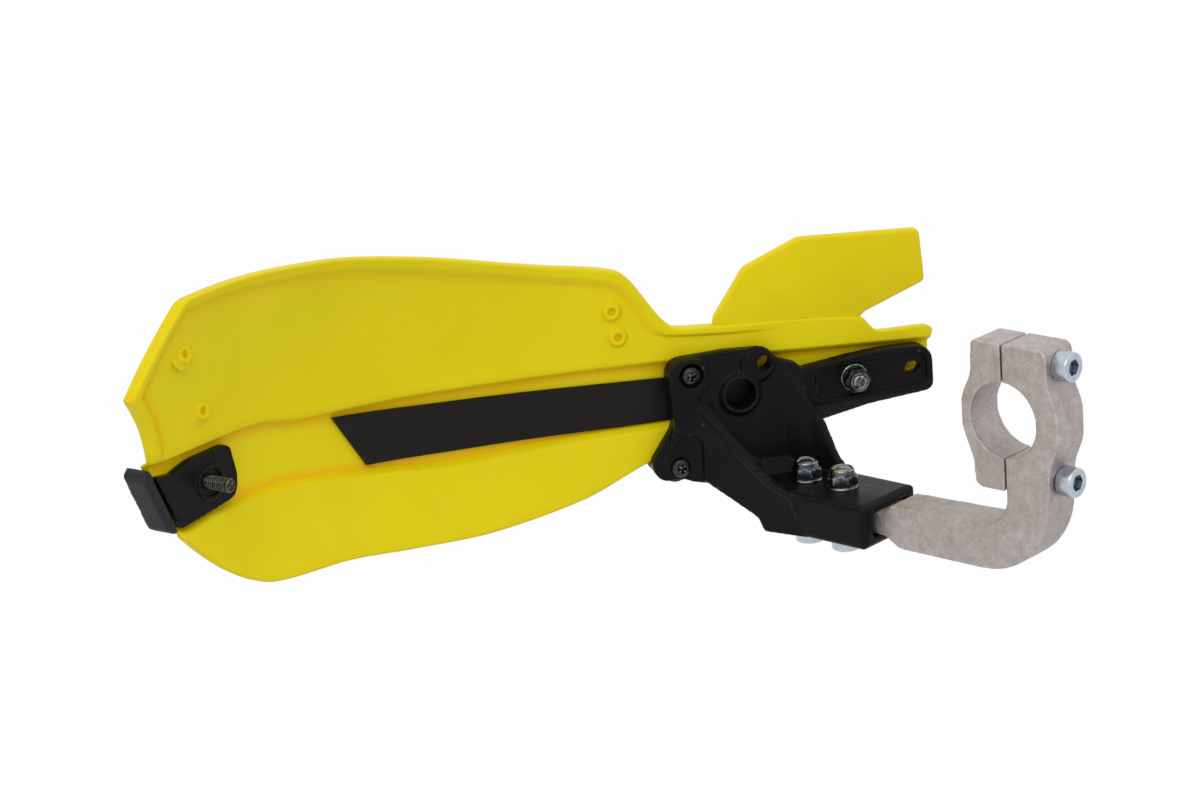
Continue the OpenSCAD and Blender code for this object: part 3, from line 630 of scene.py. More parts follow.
def soften(node, name, slot, voxel, passes, bosses=()):
    """A finely remeshed copy of a solid, with any bosses grown into it and its edges relaxed."""
    piece = bpy.data.objects.new(name, joined(name, frame["nodes"][node].data, bosses))
    bpy.context.scene.collection.objects.link(piece)
    piece.modifiers.new("weld", "WELD").merge_threshold = WELD_GAP * MM
    remesh = piece.modifiers.new("remesh", "REMESH")
    remesh.mode = "VOXEL"
    remesh.voxel_size = voxel * MM
    relax = piece.modifiers.new("relax", "SMOOTH")
    relax.factor = 0.5
    relax.iterations = passes
    piece.data = through_modifiers(piece)
    dense = len(piece.data.polygons) * 2
    if dense > FACE_LIMIT:
        piece.modifiers.new("thin", "DECIMATE").ratio = FACE_LIMIT / dense
        piece.data = through_modifiers(piece)
    piece.data.name = name
    piece.data.polygons.foreach_set("use_smooth", [True] * len(piece.data.polygons))
    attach(piece, "root")
    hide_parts(node)
    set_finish(piece, slot)
    print(name, "triangles:", dense, "kept faces:", len(piece.data.polygons))


def boss(rings, at):
    """A round boss in the wall's frame, from rings that close on themselves."""
    points, faces = ring_stack(rings, loop=True)
    return placed(points, wall_frame(*at, 0)), faces


BUMPER_NEAR = 6.15
BUMPER_FACE = 11.15
HEAD_SINK = 2.4
INSERT_R = 2.6
INSERT_END = BUMPER_FACE + 0.4
INSERT_BOSS_R = 4.3
BOLT_BOSS_R = 5.5
SINK_R = 4.4
SINK_FLOOR = BUMPER_FACE - HEAD_SINK
insert_boss = boss([(INSERT_R, BUMPER_NEAR), (INSERT_BOSS_R, BUMPER_NEAR),
                    (INSERT_BOSS_R, INSERT_END), (INSERT_R, INSERT_END)], UPPER_SCREW)
bolt_boss = boss([(SCREW_HOLE_R, BUMPER_NEAR), (BOLT_BOSS_R, BUMPER_NEAR), (BOLT_BOSS_R, BUMPER_FACE),
                  (SINK_R, BUMPER_FACE), (SINK_R, SINK_FLOOR), (SCREW_HOLE_R, SINK_FLOOR)], STRIP_BOLT)
soften("mount_bracket", "moulded_bracket", "black_moulding", 0.4, 6)
soften("clamp_arm", "sawn_arm", "blasted_alloy", 0.4, 5)
soften("clamp_cap", "sawn_cap", "blasted_alloy", 0.36, 5)
soften("front_bumper", "outer_bumper", "dark_bumper", 0.5, 5, [insert_boss, bolt_boss])
soften("end_tab", "ringed_end_tab", "black_moulding", 0.25, 4)

# %% [markdown]
# A thread is a ridge that climbs as it turns. In a stack of rings it is one function: the radius at
# an angle depends on how far that angle lies from the ridge at this height. The ridge fades in and
# out over one pitch, as a rolled thread does at a screw's end.

# %% Threads and the socket screws
THREAD_DEPTH = 0.55


def thread(r, pitch, low, high):
    """Rings of a thread of outer radius r between two heights."""
    steps = max(2, math.ceil((high - low) / pitch * 8))
    rings = []
    for k in range(steps + 1):
        h = low + (high - low) * k / steps
        fade = max(0.0, min(1.0, (h - low) / pitch, (high - h) / pitch)) * THREAD_DEPTH * pitch
        rings.append((lambda a, h=h, fade=fade:
                      r - fade * abs(2 * ((h / pitch - a / (2 * math.pi)) % 1) - 1), h))
    return rings


def turned(name, rings, matrix, slot, node, segments=SEGMENTS, loop=False):
    """A turned piece in the frame."""
    points, faces = ring_stack(rings, segments, loop)
    return new_piece(name, mesh_from(name, placed(points, matrix), faces), slot, node)


def hex_socket(af, top, depth, way):
    """Rings of a hexagon socket from its floor to its mouth; way is 1 where the floor lies above."""
    floor = top + way * depth
    return [(0.05, floor + way * 0.5), (af * 0.3, floor + way * 0.25), (hexagon(af), floor),
            (hexagon(af), top + way * 0.3), (hexagon(af, af * 0.56), top + way * 0.22),
            (af * 0.585, top + way * 0.02), (af * 0.6, top)]


M5, M5_PITCH, M5_HEAD_R = 5, 0.8, 4.3


def socket_screw(length):
    """Rings of an M5 cap screw with its head below the origin and its shank along +z."""
    d, head_r = M5, M5_HEAD_R
    head = [(head_r - 0.75, -d), (head_r - 0.4, -d + 0.06), (head_r - 0.15, -d + 0.25),
            (head_r - 0.03, -d + 0.55), (head_r, -d + 0.9), (head_r, -0.3), (head_r - 0.12, -0.08),
            (head_r - 0.35, 0), (d / 2 + 0.25, 0), (d / 2, 0.25), (d / 2, length * 0.35)]
    tip = [(d / 2 - 0.3, length - 0.25), (d / 2 - 0.65, length), (0.05, length)]
    ridge = thread(d / 2, M5_PITCH, length * 0.36, length - 0.5)
    return hex_socket(d * 0.86, -d, d / 2, 1) + head + ridge + tip


HALF_DEPTH = 15.2
CAP_DEPTH = 10.4
CAP_END_WALL = 1.6
SCREW_Z = 16.8
SOCKET_TOP = -33
SOCKET_LOW = -46.2
WASHER_T = 1.0
BOLT_Y = {"rear": 64.0, "front": 77.6}
BOLT_PAST_SOCKET = 5.8
BOLT_LENGTH = SOCKET_TOP - SOCKET_LOW + WASHER_T + BOLT_PAST_SOCKET
forward = Matrix.Rotation(math.radians(-90), 4, "X")
for place, z in (("upper", SCREW_Z), ("lower", -SCREW_Z)):
    in_clamp = Matrix.Translation(Vector((0, -HALF_DEPTH, z)) * MM) @ forward
    turned(f"cap_screw_{place}", socket_screw(HALF_DEPTH + CAP_DEPTH - CAP_END_WALL), in_clamp, "zinc_steel",
           f"clamp_screw_{place}")
for place, y in BOLT_Y.items():
    in_socket = Matrix.Translation(Vector((0, y, SOCKET_LOW - WASHER_T)) * MM)
    turned(f"socket_bolt_{place}", socket_screw(BOLT_LENGTH), in_socket, "zinc_steel", f"arm_bolt_{place}")
print("length of the arm bolts in mm:", round(BOLT_LENGTH, 1))

# %% [markdown]
# A flange lock nut is forged as one piece: a washer-like flange, six flats with their corners turned
# off, and a collar rolled over a nylon ring. The corner cut comes from limiting the hexagon's radius
# by a cone that closes toward the top. Washers and nylon rings are plain loops of rings.

# %% Nuts, rings and washers


def lock_nut(af, height, flange_r, bore_r, collar):
    """Rings of a lock nut that stands on the origin; collar is its height and its two radii."""
    rise, collar_low, collar_high = collar
    cone = [(hexagon(af, af * (0.59 - 0.05 * k / 6)), 1.0 + (height - 1.0) * k / 6) for k in range(7)]
    chamfer = [(hexagon(af, af * 0.5), height - 0.4), (hexagon(af, af * 0.475), height - 0.12)]
    inner_r = collar_high - 0.75
    top = height + rise
    flange = [(bore_r, 0.3), (bore_r + 0.3, 0), (flange_r - 0.3, 0), (flange_r - 0.06, 0.1), (flange_r, 0.3),
              (flange_r - 0.1, 0.6), (flange_r - 0.35, 0.85)]
    rolled = [(collar_low + 0.12, height), (collar_low, height + 0.15),
              (collar_low - 0.05, height + rise * 0.5), (collar_high + 0.05, top - 0.25),
              (collar_high - 0.2, top - 0.04), (collar_high - 0.45, top),
              (inner_r, top - 0.2), (inner_r, height + 0.2), (bore_r, height)]
    return flange + cone[:6] + chamfer + rolled


def flat_ring(inner_r, outer_r, low, high, edge=0.12):
    """Rings of a washer with softened edges."""
    return [(inner_r, low + edge), (inner_r + edge, low), (outer_r - edge, low), (outer_r, low + edge),
            (outer_r, high - edge), (outer_r - edge, high), (inner_r + edge, high), (inner_r, high - edge)]


NUT_H = 4.4
COLLAR_H = 1.6
NUT_BORE_R = 2.52
RING_R = 2.68
for place, y in BOLT_Y.items():
    on_socket = Matrix.Translation(Vector((0, y, SOCKET_TOP)) * MM)
    under_socket = Matrix.Translation(Vector((0, y, SOCKET_LOW - WASHER_T)) * MM)
    turned(f"flange_nut_{place}", lock_nut(8, NUT_H, 4.8, NUT_BORE_R, (COLLAR_H, 3.7, 3.45)), on_socket,
           "bright_steel", f"arm_nut_{place}", segments=72, loop=True)
    turned(f"nylon_ring_{place}", flat_ring(NUT_BORE_R, RING_R, NUT_H + 0.02, NUT_H + COLLAR_H - 0.3, 0.1),
           on_socket, "nylon_ring", f"lock_ring_{place}", loop=True)
    turned(f"plain_washer_{place}", flat_ring(2.65, 5, 0, WASHER_T), under_socket,
           "zinc_steel", f"arm_washer_{place}", loop=True)
print("height of a lock nut in mm:", NUT_H + COLLAR_H)

# %% [markdown]
# The bracket's two screws have low domed heads with a cross recess. The recess is cut from the head
# by a four-armed block that narrows toward its floor, which leaves the crisp inner corners that
# catch dirt on the real screw.

# %% Cross-head screws
PLATE_T = 4.0
PAN_R = 2.9
PAN_SHANK_R = 1.6
PAN_PITCH = 0.5


def cross_block(top, floor):
    """Points and faces of a four-armed cutter, wide at its top and narrower at its floor."""
    points = []
    for height, reach, half in ((top, 1.75, 0.5), (floor, 1.1, 0.3)):
        arm = [(reach, -half), (reach, half), (half, half)]
        for k in range(4):
            c, s = round(math.cos(k * math.pi / 2)), round(math.sin(k * math.pi / 2))
            points += [(c * x - s * y, s * x + c * y, height) for x, y in arm]
    n = len(points) // 2
    faces = [(j, (j + 1) % n, n + (j + 1) % n, n + j) for j in range(n)]
    return np.array(points), faces + [tuple(range(n)), tuple(range(n, 2 * n))]


def cross_screw(name, matrix, length, node):
    """A pan screw with its head below the origin and its shank along +z."""
    head = [(0.05, -2.2), (0.9, -2.19), (1.6, -2.1), (2.1, -1.92), (2.5, -1.65), (2.75, -1.35),
            (2.88, -1.0), (PAN_R, -0.7), (PAN_R, -0.15), (PAN_R - 0.12, 0), (1.7, 0), (PAN_SHANK_R, 0.2)]
    ridge = thread(PAN_SHANK_R, PAN_PITCH, 1.0, length - 0.3)
    points, faces = ring_stack(head + ridge + [(1.1, length), (0.05, length)])
    cutter, cutter_faces = cross_block(-3.0, -0.8)
    mesh = cut(mesh_from(name, placed(points, matrix), faces), [(placed(cutter, matrix), cutter_faces)])
    shade(mesh)
    return new_piece(name, mesh, "black_steel", node)


upper = cross_screw("cross_screw_upper", wall_frame(*UPPER_SCREW, -PLATE_T), 13.95, "bracket_screw_upper")
lower = cross_screw("cross_screw_lower", wall_frame(*LOWER_SCREW, -PLATE_T), 8.6, "bracket_screw_lower")
print("cross-head screw faces:", len(upper.data.polygons), len(lower.data.polygons))

# %% [markdown]
# Two more screws come through from the front with flat heads sunk in the bumper. The strip arm's
# bolt carries a dark lock nut on the rider's side, and the end tab's screw shows its bare threaded
# end inside the tab's ring.

# %% Front screws and the strip arm's nut


M4_R, M4_PITCH = 2, 0.7


def face_screw(name, at, head_r, back, hex_af, slot, node):
    """A flat-head M4 screw in the bumper's face with a threaded end toward the rider."""
    r = M4_R
    seat = SINK_FLOOR
    top = BUMPER_FACE - 0.2
    rings = ([(0.05, -back + 0.1), (r - 0.9, -back + 0.06), (r - 0.6, -back), (r - 0.3, -back + 0.12)]
             + thread(r, M4_PITCH, -back + 0.3, seat - 1) + [(r, seat - 0.2), (r + 0.1, seat)]
             + [(head_r - 0.1, seat), (head_r, seat + 0.15), (head_r - 0.8, top - 0.1), (head_r - 0.95, top)]
             + hex_socket(hex_af, top, 1.4, -1)[::-1])
    turned(name, rings, wall_frame(*at, 0), slot, node)


face_screw("strip_arm_bolt", STRIP_BOLT, 3.9, 10.2, 2.2, "bright_steel", "strip_bolt")
face_screw("tab_screw", END_SCREW, 3.8, 8.0, 2.4, "black_steel", "end_screw")
rider_side = wall_frame(*STRIP_BOLT, -PLATE_T - WASHER_T) @ Matrix.Rotation(math.pi, 4, "X")
turned("strip_arm_nut", lock_nut(7, 3.8, 3.85, 2.02, (1.2, 2.95, 2.85)), rider_side, "black_steel",
       "strip_nut", segments=72, loop=True)
turned("strip_arm_washer", flat_ring(2.15, 4.2, -WASHER_T, 0), rider_side, "bright_steel", "strip_washer",
       loop=True)

# %% [markdown]
# Finishes are built from nodes, so that they need no pictures and look right from every side. Two
# small helpers keep them readable: one adds a node and fills its inputs, the other starts a node
# group. Effects that several finishes share live in groups with named inputs: fine grain, masks for
# edges and hollows that carry wear and dirt and also painted highlights and painted shade, hairline
# scuffs, and slow clouding of the tone.

# %% Node helpers


def srgb(r, g, b):
    """A colour as the eye reads it, from 0 to 255, turned into the linear values a shader takes."""
    linear = [v / 255 / 12.92 if v <= 10 else ((v / 255 + 0.055) / 1.055) ** 2.4 for v in (r, g, b)]
    return (*linear, 1.0)


def add(tree, kind, inputs=None, **settings):
    """A shader node with settings, and with its inputs filled by a value or joined to a socket."""
    node = tree.nodes.new(kind)
    for key, value in settings.items():
        setattr(node, key, value)
    for key, value in (inputs or {}).items():
        if isinstance(value, bpy.types.NodeSocket):
            tree.links.new(value, node.inputs[key])
        else:
            node.inputs[key].default_value = value
    return node


def sums(tree, operation, a, b, clamp=False):
    """The result of a sum of two values."""
    return add(tree, "ShaderNodeMath", {0: a, 1: b}, operation=operation, use_clamp=clamp).outputs[0]


def remap(tree, value, low, high, to_low=0.0, to_high=1.0):
    """A value moved from one range to another, and kept inside it."""
    inputs = {"Value": value, "From Min": low, "From Max": high, "To Min": to_low, "To Max": to_high}
    return add(tree, "ShaderNodeMapRange", inputs).outputs[0]


def tone(tree, share, a, b):
    """A colour between a and b."""
    return add(tree, "ShaderNodeMix", {0: share, 6: a, 7: b}, data_type="RGBA").outputs[2]


def new_group(name, inputs, outputs):
    """An empty node group with named number sockets, and its two end nodes."""
    group = bpy.data.node_groups.new(name, "ShaderNodeTree")
    for label, value in inputs.items():
        socket = group.interface.new_socket(name=label, in_out="INPUT", socket_type="NodeSocketFloat")
        socket.default_value = value
    for label in outputs:
        group.interface.new_socket(name=label, in_out="OUTPUT", socket_type="NodeSocketFloat")
    return group, group.nodes.new("NodeGroupInput"), group.nodes.new("NodeGroupOutput")


def per_metre(tree, size):
    """The texture scale for a pattern of a size in mm."""
    return sums(tree, "DIVIDE", 1 / MM, size)


def noise(tree, size, detail=3.0, vector=None):
    """Noise with features of a size in mm, fixed to the part."""
    vector = vector or add(tree, "ShaderNodeTexCoord").outputs["Object"]
    inputs = {"Vector": vector, "Scale": per_metre(tree, size), "Detail": detail, "Roughness": 0.55}
    return add(tree, "ShaderNodeTexNoise", inputs).outputs[0]


print("a yellow in linear values:", [round(v, 3) for v in srgb(230, 212, 8)[:3]])

# %% [markdown]
# Each group measures sizes in millimetres on the part, so a grain of 0.3 is the same grain on every
# piece. The edge and hollow masks come from the pointiness of the mesh: edges stand out above one
# half and hollows sink below it. Finishes use them for real wear and dust, and also for painted
# highlights on edges and painted shade in hollows. Noise breaks the edge mask into patches, since
# nothing rubs evenly.

# %% Shared groups
grain_group, ins, outs = new_group("fine_grain", {"Size": 0.4}, ["Height", "Fleck"])
fine = noise(grain_group, ins.outputs["Size"])
cells = add(grain_group, "ShaderNodeTexVoronoi",
            {"Vector": add(grain_group, "ShaderNodeTexCoord").outputs["Object"],
             "Scale": per_metre(grain_group, ins.outputs["Size"])}).outputs["Distance"]
height = sums(grain_group, "ADD", sums(grain_group, "MULTIPLY", fine, 0.65),
              sums(grain_group, "MULTIPLY", cells, 0.35))
grain_group.links.new(height, outs.inputs["Height"])
grain_group.links.new(remap(grain_group, fine, 0.56, 0.72), outs.inputs["Fleck"])

# Edge and Hollow are pointiness masks: finishes use them for wear and dust, and also for painted highlights
# and painted shade.
edge_hollow_group, ins, outs = new_group("edge_and_hollow", {"Start": 0.52, "Full": 0.6, "Patch": 3.0}, ["Edge", "Hollow"])
point = add(edge_hollow_group, "ShaderNodeNewGeometry").outputs["Pointiness"]
patch = remap(edge_hollow_group, noise(edge_hollow_group, ins.outputs["Patch"], 5.0), 0.36, 0.62, 0.15, 1.0)
edge = remap(edge_hollow_group, point, ins.outputs["Start"], ins.outputs["Full"])
low_start = sums(edge_hollow_group, "SUBTRACT", 1.0, ins.outputs["Start"])
low_full = sums(edge_hollow_group, "SUBTRACT", 1.0, ins.outputs["Full"])
hollow = remap(edge_hollow_group, point, low_full, low_start, 1.0, 0.0)
edge_hollow_group.links.new(sums(edge_hollow_group, "MULTIPLY", edge, patch), outs.inputs["Edge"])
edge_hollow_group.links.new(hollow, outs.inputs["Hollow"])

scuff_group, ins, outs = new_group("hairline_scuffs", {"Size": 1.5, "Amount": 0.5}, ["Lines"])
place = add(scuff_group, "ShaderNodeTexCoord").outputs["Object"]
lines = []
for turn in ((0.3, 0.5, 0.9), (1.2, 0.2, 2.1)):
    slid = add(scuff_group, "ShaderNodeMapping", {"Vector": place, "Rotation": turn, "Scale": (1, 1, 0.04)})
    streaks = noise(scuff_group, ins.outputs["Size"], 2.0, slid.outputs[0])
    lines.append(remap(scuff_group, streaks, 0.66, 0.72))
both = sums(scuff_group, "MAXIMUM", lines[0], lines[1])
scuff_group.links.new(sums(scuff_group, "MULTIPLY", both, ins.outputs["Amount"]), outs.inputs["Lines"])

cloud_group, ins, outs = new_group("slow_clouding", {"Size": 20.0}, ["Cloud"])
cloud = remap(cloud_group, noise(cloud_group, ins.outputs["Size"], 4.0), 0.34, 0.66)
cloud_group.links.new(cloud, outs.inputs["Cloud"])
print("groups:", [g.name for g in bpy.data.node_groups if g.type == "SHADER"])

# %% [markdown]
# Every finish starts the same way: a Principled shader, the four shared groups with its own values,
# and a bump made of the grain and of a slower waviness. What differs is how the masks are mixed into
# colour and roughness, so each finish below only says that.

# %% A finish and its masks


finish = {}


def use(tree, group, **values):
    """The outputs of a shared group placed in a material."""
    node = add(tree, "ShaderNodeGroup", node_tree=group)
    for key, value in values.items():
        node.inputs[key].default_value = value
    return node.outputs


def start_finish(name, metal, gloss):
    """A new finish with a Principled shader that has its plain values set."""
    finish[name] = bpy.data.materials.new(name)
    finish[name].use_nodes = True
    tree = finish[name].node_tree
    shader = tree.nodes["Principled BSDF"]
    shader.inputs["Metallic"].default_value = metal
    shader.inputs["Specular IOR Level"].default_value = gloss
    return tree, shader


def end_finish(tree, shader, colour, rough, layers):
    """The colour and roughness joined to the shader, and bumps of layers (height, depth in mm)."""
    tree.links.new(colour, shader.inputs["Base Color"])
    tree.links.new(rough, shader.inputs["Roughness"])
    normal = None
    for height, depth in layers:
        inputs = {"Height": height, "Strength": 1.0, "Distance": depth * MM}
        if normal:
            inputs["Normal"] = normal
        normal = add(tree, "ShaderNodeBump", inputs).outputs[0]
    tree.links.new(normal, shader.inputs["Normal"])


def weighted(tree, base, *terms):
    """A base value with masks added in their shares, for roughness."""
    value = base
    for mask, share in terms:
        value = sums(tree, "ADD", value, sums(tree, "MULTIPLY", mask, share))
    return value


# %% [markdown]
# The shell is coloured right through, so wear can't show another colour. Its edges and folds are
# painted warmer and more orange instead: the folds take painted shade and bounced yellow light, and
# the thin edges a painted orange glow of light passing through the plastic, while the broad faces
# are paler under a fine satin grain. A fold bends less sharply than an edge, so its mask is the more
# sensitive one. Slow clouding and a few hairlines keep the wide faces from looking like paint.

# %% Yellow shell
tree, shader = start_finish("yellow_shell", 0.0, 0.16)
edge_hollow = use(tree, edge_hollow_group, Start=0.508, Full=0.57, Patch=9.0)
fold_shade = use(tree, edge_hollow_group, Start=0.502, Full=0.535, Patch=9.0)["Hollow"]
cloud = use(tree, cloud_group, Size=38.0)["Cloud"]
scuffs = use(tree, scuff_group, Size=1.6, Amount=0.5)["Lines"]
grain = use(tree, grain_group, Size=0.32)
broad = tone(tree, cloud, srgb(230, 212, 8), srgb(225, 205, 2))
# Painted shade and bounced yellow light: folds turn orange.
fold_shaded = tone(tree, sums(tree, "MULTIPLY", fold_shade, 0.75), broad, srgb(240, 172, 0))
# Painted glow: edges turn a deeper orange, as if lit through the thin plastic.
edged = tone(tree, sums(tree, "MULTIPLY", edge_hollow["Edge"], 0.6), fold_shaded, srgb(226, 186, 0))
lined = tone(tree, sums(tree, "MULTIPLY", scuffs, 0.25), edged, srgb(224, 212, 90))
rough = weighted(tree, 0.4, (cloud, 0.07), (scuffs, 0.18), (grain["Fleck"], 0.05))
end_finish(tree, shader, lined, rough, [(cloud, 0.12), (grain["Height"], 0.012)])
print("yellow shell nodes:", len(tree.nodes))

# %% [markdown]
# The black parts share one recipe with different values. Glass-filled nylon is a soft black that
# greys where hands and tools rub its edges; the grey-brown edge colour is also a painted highlight
# and a painted brown sheen. Hollows move toward a dust colour: on the strip and the bumper it is
# lighter than the face, as real dust, and on the black moulding it is darker, as painted shade.
# The strip is smoother and evenly dull, and the bumper has a coarser texture.

# %% Black plastics


def black_plastic(name, face, haze, worn_and_highlight, dust_and_shade, rough, grain_size, grain_depth, gloss, edge_from):
    """A black moulded plastic with edges lightened by wear and painted highlight, and hollows moved toward a
    dust colour that is painted shade where it is darker than the face.
    """
    tree, shader = start_finish(name, 0.0, gloss)
    edge_hollow = use(tree, edge_hollow_group, Start=edge_from, Full=edge_from + 0.07, Patch=2.6)
    cloud = use(tree, cloud_group, Size=11.0)["Cloud"]
    scuffs = use(tree, scuff_group, Size=0.9, Amount=0.6)["Lines"]
    grain = use(tree, grain_group, Size=grain_size)
    base = tone(tree, cloud, face, haze)
    # Hollows move toward the dust colour: real dust where it is lighter than the face, painted shade where it
    # is darker.
    dusty_and_shaded = tone(tree, sums(tree, "MULTIPLY", edge_hollow["Hollow"], 0.35), base, dust_and_shade)
    # Edges move toward the worn colour: part wear, part painted highlight and brown sheen.
    rubbed_and_highlit = tone(tree, sums(tree, "MULTIPLY", edge_hollow["Edge"], 0.55), dusty_and_shaded, worn_and_highlight)
    lined = tone(tree, sums(tree, "MULTIPLY", scuffs, 0.03), rubbed_and_highlit, worn_and_highlight)
    terms = (cloud, 0.1), (edge_hollow["Edge"], -0.08), (scuffs, 0.12), (grain["Fleck"], 0.06)
    bumps = [(cloud, 0.05), (grain["Height"], grain_depth)]
    end_finish(tree, shader, lined, weighted(tree, rough, *terms), bumps)


# On the black moulding the dust colour is darker than the face, so its hollows get painted shade; its worn
# colour is part wear and part painted highlight and sheen.
black_plastic("black_moulding", srgb(16, 16, 19), srgb(24, 22, 22), srgb(90, 87, 83), srgb(12, 10, 8),
              0.24, 0.3, 0.01, 0.08, 0.53)
black_plastic("black_strip", srgb(20, 19, 18), srgb(25, 23, 22), srgb(64, 60, 54), srgb(28, 26, 22),
              0.36, 0.25, 0.006, 0.14, 0.54)
black_plastic("dark_bumper", srgb(28, 28, 31), srgb(36, 36, 38), srgb(86, 86, 86), srgb(36, 34, 32),
              0.4, 0.6, 0.03, 0.2, 0.53)
print("finishes so far:", sorted(finish))

# %% [markdown]
# The arm and the clamp cap were sawn from an extruded bar and tumbled with stones. Tumbling leaves a
# warm grey, faintly mottled skin full of tiny pits, brighter where edges and corners were rounded
# over, and duller in the bends where the stones hardly reach.

# %% Blasted alloy
tree, shader = start_finish("blasted_alloy", 1.0, 0.5)
edge_hollow = use(tree, edge_hollow_group, Start=0.515, Full=0.58, Patch=1.6)
cloud = use(tree, cloud_group, Size=3.2)["Cloud"]
wide = use(tree, cloud_group, Size=16.0)["Cloud"]
grain = use(tree, grain_group, Size=0.5)
specks = use(tree, grain_group, Size=0.7)
scuffs = use(tree, scuff_group, Size=0.7, Amount=0.6)["Lines"]
skin = tone(tree, cloud, srgb(172, 163, 158), srgb(196, 190, 190))
shaded = tone(tree, sums(tree, "MULTIPLY", wide, 0.45), skin, srgb(170, 161, 156))
pitted = tone(tree, sums(tree, "MULTIPLY", specks["Fleck"], 0.4), shaded, srgb(136, 127, 121))
bright = tone(tree, sums(tree, "MULTIPLY", grain["Fleck"], 0.4), pitted, srgb(230, 226, 222))
dull = tone(tree, sums(tree, "MULTIPLY", edge_hollow["Hollow"], 0.5), bright, srgb(128, 119, 106))
rounded_over = tone(tree, sums(tree, "MULTIPLY", edge_hollow["Edge"], 0.35), dull, srgb(212, 210, 208))
lined = tone(tree, sums(tree, "MULTIPLY", scuffs, 0.3), rounded_over, srgb(206, 203, 198))
terms = (cloud, 0.08), (wide, 0.06), (edge_hollow["Edge"], -0.14), (scuffs, -0.1), (specks["Fleck"], 0.08)
bumps = [(cloud, 0.05), (specks["Height"], 0.07), (grain["Height"], 0.07)]
end_finish(tree, shader, lined, weighted(tree, 0.5, *terms), bumps)
print("blasted alloy nodes:", len(tree.nodes))

# %% [markdown]
# Screws, nuts and inserts are plated. The plating is thin, so it takes its colour from the metal.
# Edges are lightened toward a bright colour that is part wear and part painted highlight, and the
# hollows a tool or a thread leaves are darkened toward a colour that is part dirt and part painted
# shade. One recipe serves them all with its own tint, roughness and amount of dirt and painted
# shade. The nuts' nylon rings use it too, with no metal in it.

# %% Plated metals


def plated(name, colours, rough, dirt_and_shade_share, metal=1.0):
    """A fastener's finish in four colours: its face, the haze on it, bright edges of wear and painted
    highlight, and dirt and painted shade in hollows.
    """
    face, haze, edge, dirt_and_shade = [srgb(*colour) for colour in colours]
    tree, shader = start_finish(name, metal, 0.5)
    edge_hollow = use(tree, edge_hollow_group, Start=0.52, Full=0.6, Patch=0.8)
    cloud = use(tree, cloud_group, Size=2.2)["Cloud"]
    grain = use(tree, grain_group, Size=0.16)
    scuffs = use(tree, scuff_group, Size=0.35, Amount=0.7)["Lines"]
    skin = tone(tree, cloud, face, haze)
    # Hollows darken toward the dirt colour: part dirt, part painted shade.
    dirty_and_shaded = tone(tree, sums(tree, "MULTIPLY", edge_hollow["Hollow"], dirt_and_shade_share), skin, dirt_and_shade)
    # Edges brighten toward the edge colour: part wear, part painted highlight.
    edged = tone(tree, sums(tree, "MULTIPLY", edge_hollow["Edge"], 0.9), dirty_and_shaded, edge)
    lined = tone(tree, sums(tree, "MULTIPLY", scuffs, 0.12), edged, edge)
    terms = (cloud, 0.1), (edge_hollow["Hollow"], 0.2), (scuffs, 0.1), (grain["Fleck"], 0.05)
    bumps = [(cloud, 0.015), (grain["Height"], 0.006)]
    end_finish(tree, shader, lined, weighted(tree, rough, *terms), bumps)


plated("zinc_steel", [(168, 180, 192), (190, 199, 207), (234, 239, 243), (62, 84, 112)], 0.26, 0.8)
# Bright steel: its dark face and haze are a painted reflection of the dark parts around it, and its
# near-white edge colour is a painted highlight.
plated("bright_steel", [(96, 100, 105), (56, 60, 66), (246, 247, 245), (12, 12, 12)], 0.12, 0.95)
plated("black_steel", [(60, 58, 56), (34, 33, 32), (168, 165, 158), (8, 8, 7)], 0.3, 0.9)
plated("brass_insert", [(196, 160, 84), (174, 138, 66), (226, 198, 128), (84, 62, 26)], 0.34, 0.7)
plated("nylon_ring", [(196, 194, 186), (182, 179, 170), (214, 213, 208), (120, 114, 100)], 0.5, 0.5, 0.0)
print("finishes made:", sorted(finish))

# %% [markdown]
# Each new piece carries the name of its slot. The solids that stay as they are, the two brass
# inserts, take theirs from the record. A small bevel rounds their rims.

# %% Put the finishes on
RIM_BEVEL = 0.15
slot_of = {part["node"]: part["material_slot"] for part in frame["record"]["subparts"]}
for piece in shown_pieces():
    slot = piece.get("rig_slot") or slot_of[piece["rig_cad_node"]]
    piece.data.materials.clear()
    piece.data.materials.append(finish[slot])
    if "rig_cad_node" in piece and not piece.hide_render:
        rim = piece.modifiers.new("rim", "BEVEL")
        rim.width = RIM_BEVEL * MM
        rim.segments = 2
        print("solid left showing:", piece.name, "in", slot)

# %% [markdown]
# The studio is a pale floor well below the guard, a soft even world and one large lamp over the
# photographer's left shoulder. The background is white for the camera and for reflections only, so
# bright metal mirrors the same white room while the light that falls on the guard stays modest.

# %% Studio


def seen_directly(tree):
    """1 for rays from the camera, from a reflection or through glass, and 0 for the others."""
    path = add(tree, "ShaderNodeLightPath")
    both = sums(tree, "ADD", path.outputs["Is Camera Ray"], path.outputs["Is Glossy Ray"], clamp=True)
    return sums(tree, "ADD", both, path.outputs["Is Transmission Ray"], clamp=True)


WORLD_LIGHT = 0.88
LAMP_WATTS = 4.0
LAMP_PLACE = Vector((-0.9, -0.35, 0.95))
FLOOR_GAP = 0.25
FLOOR_GLOW = 0.96
FLOOR_HALF = 4

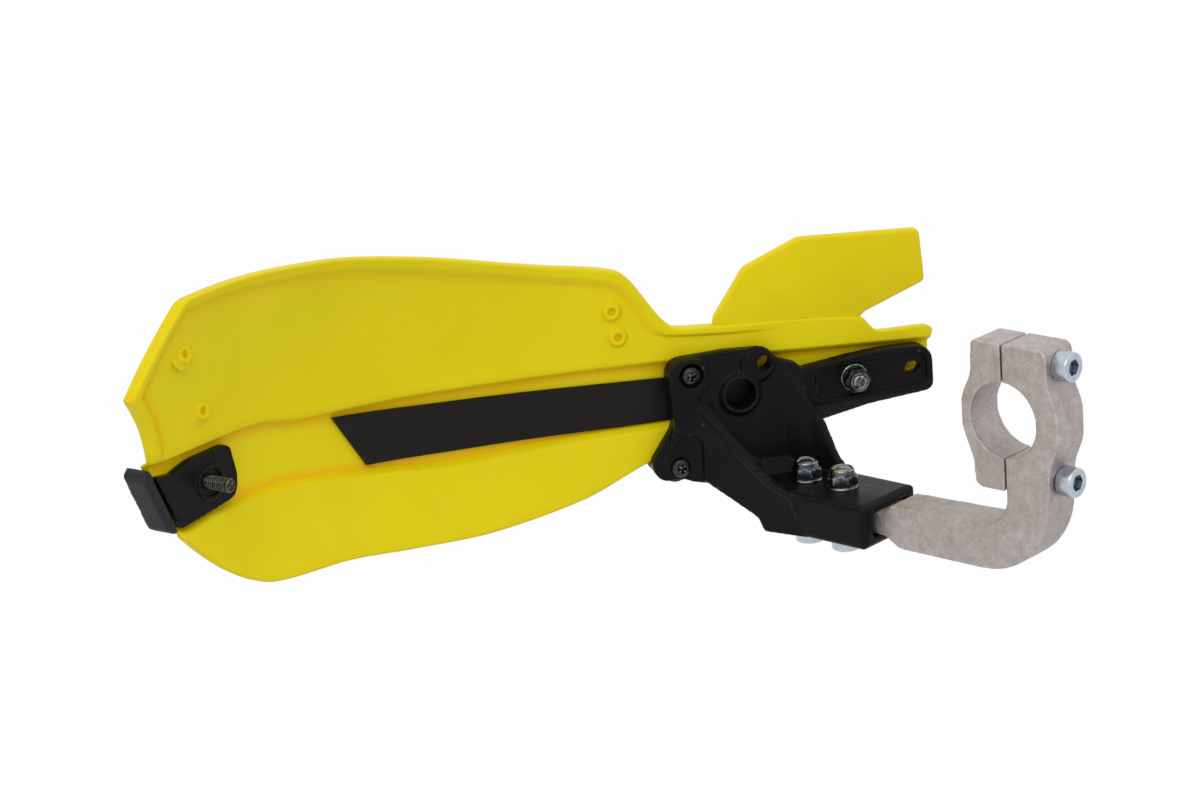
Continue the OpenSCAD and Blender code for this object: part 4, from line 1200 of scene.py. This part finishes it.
world = bpy.data.worlds.new("studio")
bpy.context.scene.world = world
world.use_nodes = True
world.node_tree.nodes.clear()
soft = add(world.node_tree, "ShaderNodeBackground", {"Color": (1, 1, 1, 1), "Strength": WORLD_LIGHT})
white = add(world.node_tree, "ShaderNodeBackground", {"Color": (1, 1, 1, 1), "Strength": 1.0})
room = add(world.node_tree, "ShaderNodeMixShader",
           {0: seen_directly(world.node_tree), 1: soft.outputs[0], 2: white.outputs[0]})
add(world.node_tree, "ShaderNodeOutputWorld", {"Surface": room.outputs[0]})
bpy.context.scene.view_settings.view_transform = "Standard"

floor_z = cad_low.z - FLOOR_GAP
corners = [(x * FLOOR_HALF, y * FLOOR_HALF, floor_z) for x, y in ((-1, -1), (1, -1), (1, 1), (-1, 1))]
floor_mesh = bpy.data.meshes.new("floor")
floor_mesh.from_pydata(corners, [], [(0, 1, 2, 3)])
floor = bpy.data.objects.new("floor", floor_mesh)
bpy.context.scene.collection.objects.link(floor)
tree, shader = start_finish("pale_floor", 0.0, 0.1)
shader.inputs["Base Color"].default_value = srgb(216, 216, 216)
shader.inputs["Roughness"].default_value = 0.9
glow = add(tree, "ShaderNodeEmission", {"Color": (1, 1, 1, 1), "Strength": 1.0})
share = sums(tree, "MULTIPLY", seen_directly(tree), FLOOR_GLOW)
mixed = add(tree, "ShaderNodeMixShader", {0: share, 1: shader.outputs[0], 2: glow.outputs[0]})
tree.links.new(mixed.outputs[0], tree.nodes["Material Output"].inputs["Surface"])
floor_mesh.materials.append(finish["pale_floor"])

softbox = bpy.data.lights.new("softbox", "AREA")
softbox.shape = "RECTANGLE"
softbox.size = 0.9
softbox.size_y = 0.7
softbox.energy = LAMP_WATTS
lamp = bpy.data.objects.new("softbox", softbox)
bpy.context.scene.collection.objects.link(lamp)
lamp.location = LAMP_PLACE
lamp.rotation_euler = (Vector((-0.03, 0.08, 0)) - LAMP_PLACE).to_track_quat("-Z", "Y").to_euler()
print("floor height in mm:", round(floor_z / MM, 1))
